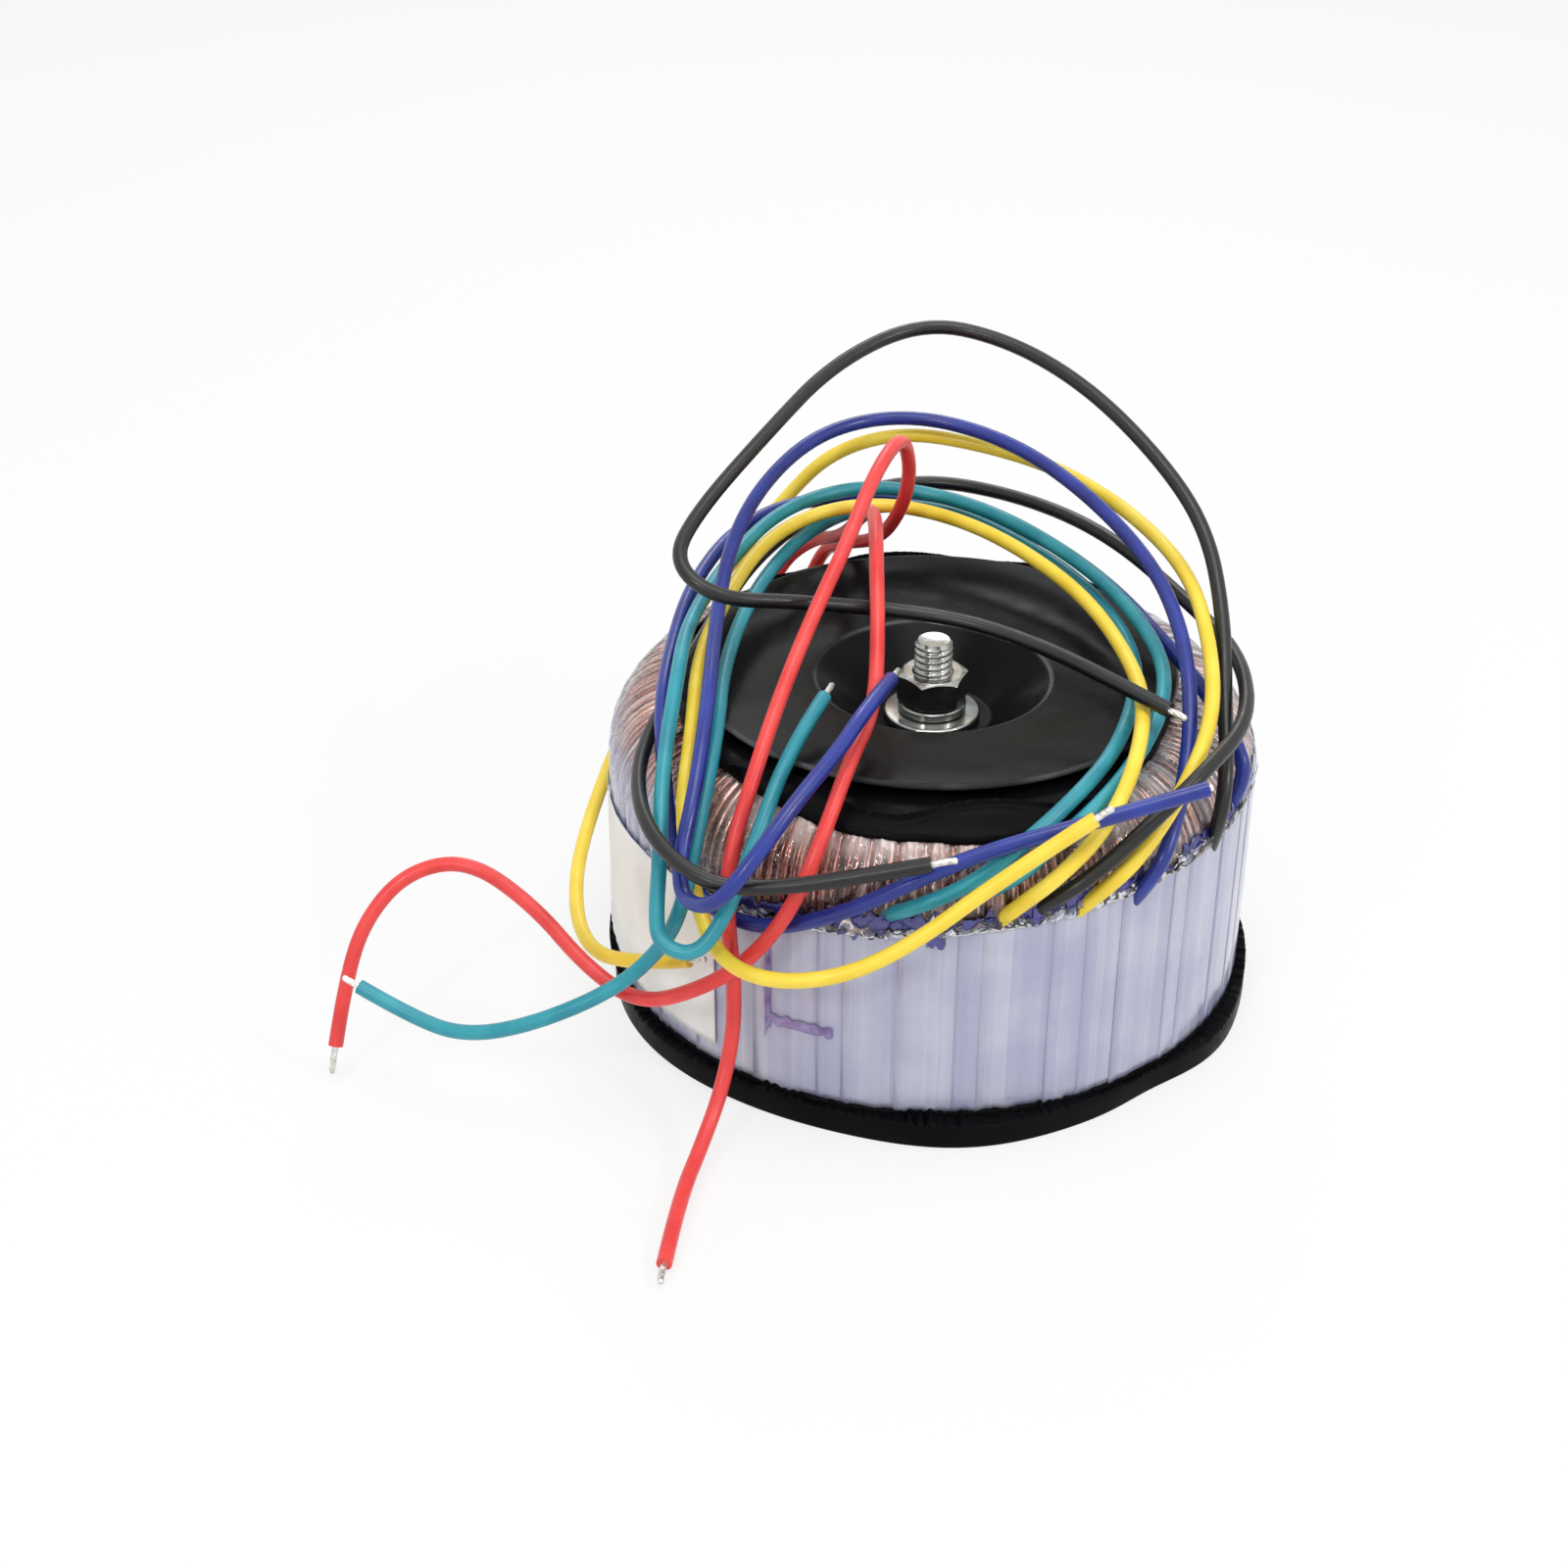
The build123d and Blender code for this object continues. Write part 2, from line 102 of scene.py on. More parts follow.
# ---- nodes -----------------------------------------------
def add(tree, kind, sockets=None, **settings):
    """Adds a node. sockets gives its inputs: a value, or the socket that feeds it."""
    made = tree.nodes.new(kind)
    for key, value in settings.items():
        setattr(made, key, value)
    for key, value in (sockets or {}).items():
        if isinstance(value, bpy.types.NodeSocket):
            tree.links.new(value, made.inputs[key])
        else:
            made.inputs[key].default_value = value
    return made


def result(tree, kind, sockets=None, **settings):
    """Adds a node and returns its first output."""
    return add(tree, kind, sockets, **settings).outputs[0]


def maths(tree, operation, *values):
    """One Math node's result."""
    return result(tree, "ShaderNodeMath", dict(enumerate(values)), operation=operation)


def sums(tree):
    """Plus, minus, times and over for one tree, each as a Math node's result."""
    return [lambda *values, kind=kind: maths(tree, kind, *values)
            for kind in ("ADD", "SUBTRACT", "MULTIPLY", "DIVIDE")]


def noted(tree, name):
    """A number that the mesh carries with it."""
    return add(tree, "ShaderNodeAttribute", attribute_name=name).outputs["Fac"]


def seen(red, green, blue):
    """A colour as the eye names it, 0 to 255, for a shader's socket."""
    def straight(value):
        value /= 255
        return value / 12.92 if value <= 0.04045 else ((value + 0.055) / 1.055) ** 2.4
    return (straight(red), straight(green), straight(blue), 1)


def finish(name, colour, roughness, **more):
    """A material of a seen() colour and its Principled shader; more gives other sockets."""
    made = bpy.data.materials.new(name)
    made.use_nodes = True
    shader = made.node_tree.nodes["Principled BSDF"]
    shader.inputs["Base Color"].default_value = seen(*colour)
    shader.inputs["Roughness"].default_value = roughness
    for key, value in more.items():
        shader.inputs[key.replace("_", " ")].default_value = value
    return made, made.node_tree, shader


def grain(tree, size, detail):
    """Cloudy noise whose lumps are about `size` millimetres, on the piece's own coordinates."""
    place = add(tree, "ShaderNodeTexCoord").outputs["Object"]
    return add(tree, "ShaderNodeTexNoise", {"Vector": place, "Scale": 1 / (size * MM),
                                            "Detail": detail}).outputs["Fac"]


def ramp(tree, factor, *stops):
    """Colour from a factor. Each stop is (where, seen() colour)."""
    made = add(tree, "ShaderNodeValToRGB", {"Fac": factor})
    points = made.color_ramp.elements
    while len(points) < len(stops):
        points.new(0.5)
    for point, (where, colour) in zip(points, stops):
        point.position, point.color = where, seen(*colour)
    return made.outputs["Color"]


def spread(tree, factor, low, high, start=0.3, end=0.7):
    """A number that runs from low to high as the factor runs from start to end."""
    return result(tree, "ShaderNodeMapRange", {"Value": factor, "From Min": start, "From Max": end,
                                               "To Min": low, "To Max": high})


def feed(tree, shader, **sockets):
    for key, value in sockets.items():
        tree.links.new(value, shader.inputs[key.replace("_", " ")])


def bumps(tree, shader, height, depth, strength):
    """Fine relief `depth` millimetres deep on a shader; returns its normal."""
    normal = add(tree, "ShaderNodeBump", {"Height": height, "Distance": depth * MM,
                                          "Strength": strength}).outputs["Normal"]
    tree.links.new(normal, shader.inputs["Normal"])
    return normal


# ---- finishes --------------------------------------------
def clouded(name, colour, roughness, dark, light, cloud, full=0.7, patches=None, smoothest=0.0,
            roughest=0.0, relief=None, depth=0.0, strength=0.0, **more):
    """A colour that drifts from dark to light as its noise goes from 0.3 to `full`. cloud, patches
    and relief are the size and detail of the grain in the colour, in the gloss and on the surface."""
    made, tree, shader = finish(name, colour, roughness, **more)
    feed(tree, shader, Base_Color=ramp(tree, grain(tree, *cloud), (0.3, dark), (full, light)))
    if patches:
        feed(tree, shader, Roughness=spread(tree, grain(tree, *patches), smoothest, roughest))
    if relief:
        bumps(tree, shader, grain(tree, *relief), depth, strength)
    return made


def lead_insulation(name, colour, deep, roughness=0.38):
    """Soft PVC: a little uneven in colour and sheen, with a faint fine grain."""
    return clouded(name, colour, roughness, dark=deep, light=colour, cloud=(9, 2), patches=(2.5, 4),
                   smoothest=roughness - 0.06, roughest=roughness + 0.1, relief=(0.7, 3), depth=0.03,
                   strength=0.5, Specular_IOR_Level=0.45, Coat_Weight=0.12, Coat_Roughness=0.25)


def tinned_strand():
    """Tin on copper strands: bright, with dull patches and a fine grain."""
    return clouded("tinned_strand", (226, 224, 218), 0.28, dark=(190, 186, 178),
                   light=(240, 239, 235), cloud=(0.8, 3), full=0.65, patches=(0.8, 3), smoothest=0.2,
                   roughest=0.42, relief=(0.35, 2), depth=0.04, strength=0.6, Metallic=1.0)


def zinc_plating():
    """Bright zinc: smooth metal with a soft bloom and a few dull spots."""
    return clouded("zinc_plating", (182, 182, 179), 0.24, dark=(164, 164, 162),
                   light=(200, 200, 197), cloud=(4, 2), patches=(1.6, 3), smoothest=0.16,
                   roughest=0.26, relief=(2.0, 2), depth=0.012, strength=0.3, Metallic=1.0)


def black_rubber():
    """Sheet rubber: dull, slightly mottled, with a fine grain."""
    return clouded("black_rubber", (8, 8, 10), 0.38, dark=(5, 5, 8), light=(13, 13, 15),
                   cloud=(12, 4), full=0.75, patches=(2.5, 4), smoothest=0.34, roughest=0.5,
                   relief=(0.7, 4), depth=0.03, strength=0.4, Specular_IOR_Level=0.05)


def navy_tape():
    """Glossy polyester tape in dark blue, finely wrinkled."""
    return clouded("navy_tape", (48, 44, 120), 0.25, dark=(38, 34, 104), light=(66, 64, 150),
                   cloud=(4, 4), patches=(4, 4), smoothest=0.18, roughest=0.34, relief=(1.4, 3),
                   depth=0.12, strength=0.6, Coat_Weight=0.8, Coat_Roughness=0.08)


def veiled_tape():
    """Blue tape seen through the milky strips: a soft purple."""
    return clouded("veiled_tape", (120, 98, 156), 0.3, dark=(104, 82, 142), light=(156, 146, 190),
                   cloud=(3, 3), Coat_Weight=0.5, Coat_Roughness=0.1)


def label_paper():
    """Plain white paper with a fine tooth."""
    return clouded("label_paper", (238, 238, 236), 0.42, dark=(228, 228, 224),
                   light=(244, 244, 243), cloud=(14, 4), patches=(3, 4), smoothest=0.34,
                   roughest=0.52, relief=(0.25, 3), depth=0.02, strength=0.4, Specular_IOR_Level=0.4)


def hidden_layer(name, colour, deep, metallic=0.0):
    """A plain finish for what lies inside the winding."""
    return clouded(name, colour, 0.5, dark=deep, light=colour, cloud=(6, 4), patches=(2, 3),
                   smoothest=0.4, roughest=0.6, Metallic=metallic)


def black_paint():
    """Satin paint on pressed steel with a fine orange peel and a little dust; light lines along the recess
    edge and the rim are painted highlights.
    """
    made, tree, shader = finish("black_paint", (20, 20, 21), 0.28, Specular_IOR_Level=0.07)
    place = add(tree, "ShaderNodeTexCoord").outputs["Object"]
    flat = result(tree, "ShaderNodeVectorMath", {0: place, 1: (1, 1, 0)}, operation="MULTIPLY")
    length = add(tree, "ShaderNodeVectorMath", {0: flat}, operation="LENGTH").outputs["Value"]
    decimetres_out = maths(tree, "MULTIPLY", length, 10.0)
    # Painted highlights: thin pale grey lines at the recess edge and the outer rim, patchy along their
    # length.
    whole, highlight_white = (0, 0, 0), (255, 255, 255)
    highlight_rims = ramp(tree, decimetres_out, (0.238, whole), (0.243, highlight_white), (0.248, whole),
                (0.493, whole), (0.498, highlight_white))
    painted_highlight = maths(tree, "MULTIPLY", highlight_rims, spread(tree, grain(tree, 26, 2), 0.1, 0.6, 0.4, 0.65))
    paint = ramp(tree, grain(tree, 22, 5), (0.35, (15, 15, 16)), (0.75, (25, 25, 26)))
    paint_with_highlights = result(tree, "ShaderNodeMixRGB", {"Fac": painted_highlight, "Color1": paint, "Color2": seen(150, 150, 152)})
    feed(tree, shader, Base_Color=paint_with_highlights, Roughness=spread(tree, grain(tree, 6, 4), 0.2, 0.32))
    bumps(tree, shader, grain(tree, 0.9, 2), 0.012, 0.3)
    return made


def enamelled_copper():
    """Enamelled wire: each turn has its own tone, from red-brown to pale copper."""
    made, tree, shader = finish("enamelled_copper", (204, 124, 102), 0.25, Metallic=0.7,
                                Coat_Weight=0.8, Coat_Roughness=0.06)
    colour = ramp(tree, noted(tree, "tone"), (0.0, (96, 30, 26)), (0.3, (176, 88, 72)),
                  (0.6, (238, 170, 148)), (1.0, (255, 226, 214)))
    feed(tree, shader, Base_Color=colour, Roughness=spread(tree, grain(tree, 1.5, 3), 0.16, 0.34))
    bumps(tree, shader, grain(tree, 0.8, 3), 0.05, 0.5)
    return made


def film_finish(name, loose=False):
    """Clear polyester film: a glossy sheet to see through, milky where folds lie over each other."""
    made, tree, shader = finish(name, (222, 216, 224), 0.16, Specular_IOR_Level=0.7,
                                Coat_Weight=1.0, Coat_Roughness=0.04)
    crinkle = grain(tree, 4.5 if loose else 2.4, 1)
    normal = bumps(tree, shader, crinkle, 0.9, 0.8)
    tint = ramp(tree, noted(tree, "tint"), (0.0, (236, 200, 190)), (0.5, (226, 224, 228)),
                (1.0, (192, 198, 226)))
    feed(tree, shader, Base_Color=tint)
    clear = result(tree, "ShaderNodeBsdfTransparent", {"Color": (1, 1, 1, 1)})
    gloss = result(tree, "ShaderNodeBsdfAnisotropic", {"Color": (1, 1, 1, 1), "Roughness": 0.07,
                                                       "Normal": normal})
    rim = result(tree, "ShaderNodeFresnel", {"IOR": 1.55, "Normal": normal})
    sheet = result(tree, "ShaderNodeMixShader", {0: rim, 1: clear, 2: gloss})
    milk = spread(tree, grain(tree, 3.4, 2), 0.0, 0.3, 0.55, 0.75) if loose else noted(tree, "milk")
    mixed = result(tree, "ShaderNodeMixShader", {0: milk, 1: sheet, 2: shader.outputs[0]})
    tree.links.new(mixed, tree.nodes["Material Output"].inputs["Surface"])
    return made


def milky_tape():
    """Milky tape over clear film: layer on layer of narrow strips, each a little paler or bluer."""
    made, tree, shader = finish("milky_tape", (192, 196, 224), 0.26, Specular_IOR_Level=0.5,
                                Coat_Weight=0.6, Coat_Roughness=0.1)
    plus, _, times, _ = sums(tree)
    line = plus(noted(tree, "run"), times(grain(tree, 30, 1), 1.2))

    def strips_of(width, offset):
        cell = add(tree, "ShaderNodeTexVoronoi", {"W": plus(line, offset), "Scale": 1 / width},
                   voronoi_dimensions="1D").outputs
        return plus(cell["Color"], times(cell["Distance"], 0.5))

    tone = plus(times(strips_of(6.5, 0.0), 0.34),
                plus(times(strips_of(2.8, 40.0), 0.16), times(grain(tree, 14, 3), 0.55)))
    colour = ramp(tree, tone, (0.25, (149, 152, 184)), (0.55, (168, 171, 196)),
                  (0.9, (200, 202, 214)))
    streak = add(tree, "ShaderNodeTexNoise", {"W": line, "Scale": 0.32, "Detail": 2.5},
                 noise_dimensions="1D").outputs["Fac"]
    feed(tree, shader, Base_Color=colour, Roughness=spread(tree, streak, 0.16, 0.36))
    bumps(tree, shader, plus(streak, times(grain(tree, 5, 3), 0.8)), 0.22, 0.6)
    return made


finishes = {
    "black_insulation": lead_insulation("black_insulation", (20, 19, 18), (14, 14, 14), 0.36),
    "blue_insulation": lead_insulation("blue_insulation", (36, 56, 152), (26, 40, 124), 0.3),
    "teal_insulation": lead_insulation("teal_insulation", (46, 156, 170), (24, 132, 150)),
    "yellow_insulation": lead_insulation("yellow_insulation", (252, 224, 78), (240, 206, 50)),
    "red_insulation": lead_insulation("red_insulation", (240, 76, 72), (220, 50, 50)),
    "tinned_copper": tinned_strand(),
    "zinc_plate": zinc_plating(),
    "black_paint": black_paint(),
    "black_rubber": black_rubber(),
    "enamelled_copper": enamelled_copper(),
    "clear_film": film_finish("clear_film"),
    "loose_film": film_finish("loose_film", loose=True),
    "milky_tape": milky_tape(),
    "navy_tape": navy_tape(),
    "veiled_tape": veiled_tape(),
    "label_paper": label_paper(),
    # The polyester layers are given a dark pinkish brown: painted shade for the gaps between the turns.
    "white_polyester": hidden_layer("white_polyester", (150, 120, 118), (96, 62, 60)),
    "core_steel": hidden_layer("core_steel", (120, 122, 126), (92, 94, 98), 1.0),
}


# ---- shapes ----------------------------------------------
def piece(name, mesh, slot, *nodes, look=None):
    """Puts a mesh on the part with its finish, found by its look or else its slot, and hides the CAD nodes
    that it stands for.
    """
    mesh.name = name
    made = put(name, mesh)
    if not mesh.materials:
        mesh.materials.append(finishes[look or slot])
    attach(made, "root")
    if nodes:
        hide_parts(*nodes)
    return made


def grid(rows, close_rows=True, sharp=None):
    """A smooth mesh through rows of points in millimetres. Each row is joined round, and so are
    the rows unless told not to. Edges that turn by more than `sharp` degrees stay crisp."""
    high, wide = len(rows), len(rows[0])
    points = [Vector(point) * MM for row in rows for point in row]
    faces = []
    for i in range(high if close_rows else high - 1):
        for j in range(wide):
            k, l = (i + 1) % high, (j + 1) % wide
            faces.append((i * wide + j, i * wide + l, k * wide + l, k * wide + j))
    mesh = bpy.data.meshes.new("shape")
    mesh.from_pydata(points, [], faces)
    tidy(mesh)
    mesh.polygons.foreach_set("use_smooth", [True] * len(mesh.polygons))
    if sharp:
        mesh.set_sharp_from_angle(angle=radians(sharp))
    return mesh


def tidy(mesh, fill=False):
    """Fills open ends, or else merges doubled points and drops faces with no area. Either way
    the faces end up turned outwards."""
    form = bmesh.new()
    form.from_mesh(mesh)
    if fill:
        bmesh.ops.holes_fill(form, edges=[edge for edge in form.edges if edge.is_boundary])
    else:
        bmesh.ops.remove_doubles(form, verts=form.verts, dist=1e-6)
        bmesh.ops.dissolve_degenerate(form, edges=form.edges, dist=1e-7)
    bmesh.ops.recalc_face_normals(form, faces=form.faces)
    form.to_mesh(mesh)
    form.free()


def between(value, start, end):
    """0 before start, 1 after end, and a soft rise from one to the other."""
    share = max(0.0, min(1.0, (value - start) / (end - start)))
    return share * share * (3 - 2 * share)


def lumps(x, y, z):
    """Smooth noise round 0 at a place."""
    return noise.noise(Vector((x, y, z)))


def hill(angle, middle, width):
    """1 at an angle round the ring and dying away over a width, both in degrees."""
    away = (angle - radians(middle) + pi) % turn - pi
    return exp(-(away / radians(width)) ** 2)


def spot(angle, r, z):
    """A place at a radius and a height, at an angle round the bolt's axis."""
    return r * cos(angle), r * sin(angle), z


def arc(middle, radius, start, end, steps):
    """Points (r, z) on an arc, in degrees."""
    angles = [radians(start + (end - start) * i / steps) for i in range(steps + 1)]
    return [(middle[0] + radius * cos(angle), middle[1] + radius * sin(angle)) for angle in angles]


def turned(profile, steps, shift=None, sharp=30):
    """A closed (r, z) profile turned about the bolt's axis. shift(angle, r, z) may move its points."""
    rows = []
    for i in range(steps):
        angle = turn * i / steps
        rows.append([spot(angle, *(shift(angle, r, z) if shift else (r, z))) for r, z in profile])
    return grid(rows, sharp=sharp)


def ring_section(inset, steps):
    """Points (r, z) round the wound ring's section: up the outside, over the top, down the bore."""
    inner, outer = hole_r + inset, film_r - inset
    low, high = ring_bottom + inset, ring_top - inset
    shoulder, foot, edge = (max(size - inset, least_round)
                            for size in (top_round, low_round, bore_round))
    return (arc((outer - foot, low + foot), foot, -90, 0, 5)
            + arc((outer - shoulder, high - shoulder), shoulder, 0, 90, 2 * steps)
            + arc((inner + edge, high - edge), edge, 90, 180, steps)
            + arc((inner + edge, low + edge), edge, 180, 270, steps))


def geometry_tree(name, sizes):
    """A new Geometry Nodes tree with one input for each named size, and its input sockets."""
    tree = bpy.data.node_groups.new(name, "GeometryNodeTree")
    tree.interface.new_socket("Geometry", in_out="INPUT", socket_type="NodeSocketGeometry")
    for label, value in sizes.items():
        kind = "NodeSocketInt" if isinstance(value, int) else "NodeSocketFloat"
        tree.interface.new_socket(label, in_out="INPUT", socket_type=kind)
    tree.interface.new_socket("Geometry", in_out="OUTPUT", socket_type="NodeSocketGeometry")
    return tree, add(tree, "NodeGroupInput").outputs


def close_tree(tree, geometry, look):
    """Ends a tree: real geometry, shaded smooth, with its material."""
    real = result(tree, "GeometryNodeRealizeInstances", {"Geometry": geometry})
    shaded = result(tree, "GeometryNodeSetShadeSmooth", {"Geometry": real, "Shade Smooth": True})
    done = result(tree, "GeometryNodeSetMaterial", {"Geometry": shaded, "Material": finishes[look]})
    add(tree, "NodeGroupOutput", {"Geometry": done})


def stored(tree, geometry, name, value):
    """Stores a number on each point of the geometry."""
    return result(tree, "GeometryNodeStoreNamedAttribute",
                  {"Geometry": geometry, "Name": name, "Value": value}, data_type="FLOAT", domain="POINT")


def grown(base, tree, sizes, thickness=0.0):
    """Runs a tree on a mesh and returns the plain mesh that it makes."""
    maker = put("maker", base)
    nodes = maker.modifiers.new("shape", "NODES")
    nodes.node_group = tree
    for socket in tree.interface.items_tree:
        if socket.in_out == "INPUT" and socket.name in sizes:
            nodes[socket.identifier] = sizes[socket.name]
    if thickness:
        solid = maker.modifiers.new("thickness", "SOLIDIFY")
        solid.thickness, solid.offset = thickness * MM, 0
    graph = bpy.context.evaluated_depsgraph_get()
    mesh = bpy.data.meshes.new_from_object(maker.evaluated_get(graph), preserve_all_data_layers=True,
                                           depsgraph=graph)
    bpy.data.objects.remove(maker)
    return mesh


# ---- leads -----------------------------------------------
# Each route runs from inside the winding to the end of the insulation. Then come its
# real length and the length of bare strand past it.
routes = {
    "black_lead_1": ([
        (55, -35, 48), (56, -41, 58), (57, -35, 67), (57, -22, 74), (57, -8, 85), (54, 7, 97),
        (45, 21, 106), (30, 38, 115), (13, 51, 120), (-5, 55, 122), (-23, 40, 118),
        (-36, 19, 110), (-48, 1, 101), (-52, -12, 96), (-43, -18, 91), (-28, -12, 88),
        (-11, -6, 84), (6, -8, 83), (21, -16, 82), (34, -27, 81), (45, -35, 79)], 352, 4),
    "black_lead_2": ([
        (20, -62, 50), (26, -65, 56), (34, -61, 61), (43, -55, 68), (51, -48, 73),
        (61, -31, 75), (61, -10, 78), (52, 11, 79), (37, 36, 82), (19, 57, 81), (-4, 66, 81),
        (-23, 60, 78), (-39, 37, 75), (-46, 8, 73), (-51, -16, 71), (-57, -38, 66),
        (-53, -60, 64), (-42, -71, 60), (-31, -72, 59), (-15, -72, 62), (1, -72, 66)], 393, 5),
    "blue_lead_1": ([
        (39, -52, 46), (43, -56, 55), (46, -51, 61), (49, -38, 68), (50, -27, 76),
        (49, -11, 83), (44, 7, 89), (32, 26, 95), (17, 43, 99), (0, 52, 101), (-15, 52, 101),
        (-28, 42, 100), (-38, 26, 95), (-43, 10, 88), (-44, -8, 80), (-43, -37, 76),
        (-44, -54, 67), (-46, -62, 59), (-45, -69, 54), (-38, -77, 58), (-31, -74, 67),
        (-24, -65, 74), (-17, -53, 78), (-12, -41, 81), (-8, -28, 80)], 381, 5),
    "blue_lead_2": ([
        (59, -27, 53), (62, -28, 60), (60, -23, 66), (54, -11, 71), (46, 3, 75), (36, 26, 76),
        (22, 46, 77), (5, 56, 79), (-13, 57, 80), (-31, 50, 82), (-44, 36, 81), (-51, 12, 79),
        (-53, -10, 75), (-53, -28, 73), (-51, -42, 65), (-49, -50, 55), (-45, -54, 47),
        (-38, -59, 44), (-28, -64, 45), (-14, -69, 53), (-1, -69, 61), (12, -66, 66),
        (31, -63, 71), (51, -57, 75)], 381, 1),
    "teal_lead_1": ([
        (12, -63, 55), (17, -66, 60), (23, -61, 64), (31, -54, 68), (39, -41, 71),
        (45, -25, 74), (46, -8, 76), (39, 11, 79), (28, 28, 81), (14, 42, 83), (-1, 51, 84),
        (-18, 52, 85), (-34, 41, 84), (-44, 20, 81), (-50, -5, 79), (-50, -26, 77),
        (-51, -46, 67), (-50, -60, 57), (-50, -68, 50), (-49, -72, 46), (-42, -74, 45),
        (-37, -70, 51), (-32, -62, 62), (-27, -46, 73), (-21, -27, 75)], 385, 5),
    "teal_lead_2": ([
        (-7, -65, 50), (-2, -70, 55), (8, -68, 59), (18, -62, 65), (28, -52, 70),
        (36, -37, 72), (41, -13, 73), (39, 4, 75), (31, 25, 76), (18, 40, 78), (2, 52, 80),
        (-16, 53, 80), (-29, 40, 79), (-38, 15, 77), (-42, -12, 74), (-41, -38, 72),
        (-43, -54, 62), (-45, -65, 51), (-49, -65, 41), (-58, -67, 32), (-74, -70, 25),
        (-88, -68, 20), (-99, -64, 21), (-110, -60, 25)], 396, 4),
    "yellow_lead_1": ([
        (13, -64, 48), (18, -67, 55), (24, -66, 60), (32, -60, 66), (38, -49, 73),
        (41, -31, 77), (39, -11, 77), (31, 10, 80), (17, 27, 83), (3, 39, 84), (-12, 45, 84),
        (-26, 40, 84), (-37, 28, 82), (-43, 8, 79), (-47, -14, 76), (-46, -37, 71),
        (-47, -50, 62), (-44, -58, 49), (-39, -69, 42), (-29, -77, 42), (-15, -79, 45),
        (-2, -76, 51), (14, -71, 63), (30, -69, 75)], 384, 4),
    "yellow_lead_2": ([
        (28, -59, 48), (34, -62, 56), (41, -56, 61), (49, -45, 70), (54, -31, 76),
        (54, -16, 83), (51, 4, 89), (41, 27, 91), (26, 43, 94), (8, 51, 96), (-9, 54, 97),
        (-24, 56, 91), (-34, 59, 79), (-45, 59, 64), (-57, 49, 50), (-67, 27, 39),
        (-72, -1, 31), (-73, -22, 27), (-69, -41, 25), (-60, -52, 27), (-45, -58, 33)], 372, 4),
    "red_lead_1": ([
        (-40, 51, 54), (-36, 58, 62), (-28, 56, 70), (-21, 46, 75), (-16, 35, 86),
        (-13, 17, 95), (-12, -3, 93), (-11, -17, 83), (-11, -31, 75), (-15, -50, 74),
        (-19, -63, 66), (-24, -69, 54), (-32, -68, 41), (-42, -66, 32), (-54, -65, 27),
        (-65, -59, 31), (-77, -47, 37), (-91, -39, 42), (-103, -41, 40), (-111, -46, 32),
        (-115, -51, 21), (-117, -57, 8)], 312, 6),
    "red_lead_2": ([
        (-30, 57, 55), (-27, 62, 64), (-21, 54, 70), (-13, 43, 76), (-8, 34, 87),
        (-6, 31, 98), (-8, 27, 108), (-13, 9, 107), (-18, -7, 98), (-24, -22, 89),
        (-29, -37, 80), (-33, -52, 71), (-37, -61, 58), (-37, -64, 47), (-36, -63, 34),
        (-36, -64, 21), (-38, -70, 11), (-41, -79, 5), (-44, -93, 3), (-45, -110, 2)], 271, 5),
}


def bare_strand(start, along, length):
    """A bundle of tinned strands twisted together and tinned solid, with a rounded end."""
    strands, side, rings = 7, 6, 22
    hidden = 0.8                         # runs on inside the insulation
    rounding = 0.86                      # the share of the length where the end starts to round
    across = along.orthogonal().normalized()
    over = along.cross(across)
    rows = []
    for i in range(rings + 1):
        share = i / rings
        reach = -hidden + (length + hidden) * share
        end = sqrt(max(0.0, 1 - max(0.0, (share - rounding) / (1 - rounding)) ** 2))
        bend = 0.12 * sin(0.9 * reach) * share
        row = []
        for j in range(strands * side):
            angle = turn * j / (strands * side)
            groove = 0.8 + 0.2 * abs(sin(strands * angle / 2)) ** 0.6
            radius = strand_r * groove * max(end, 0.03)
            swirl = angle + 0.42 * reach
            row.append(start + along * reach + across * (radius * cos(swirl) + bend)
                       + over * radius * sin(swirl))
        rows.append(row)
    rows[0] = [start - along * hidden] * len(rows[0])
    rows[-1] = [start + along * length] * len(rows[0])
    return grid(rows, close_rows=False)


for name, (route, real_length, bare) in routes.items():
    colour = name.split("_")[0]
    line = bpy.data.curves.new(name + "_line", "CURVE")
    line.dimensions = "3D"
    line.resolution_u = 8
    line.bevel_depth = lead_r * MM
    line.bevel_resolution = 6
    line.use_fill_caps = True
    spline = line.splines.new("NURBS")
    spline.points.add(len(route) - 1)
    for point, place in zip(spline.points, route):
        point.co = (*(Vector(place) * MM), 1)
    spline.order_u = 3
    spline.use_endpoint_u = True
    spline.use_smooth = True
    line.materials.append(finishes[colour + "_insulation"])
    lead = put(name + "_pvc", line)
    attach(lead, "root")
    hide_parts(name)
    last, before = Vector(route[-1]), Vector(route[-2])
    end = bare_strand(last, (last - before).normalized(), bare)
    strand = piece(name + "_strand", end, "tinned_copper", name + "_tip")


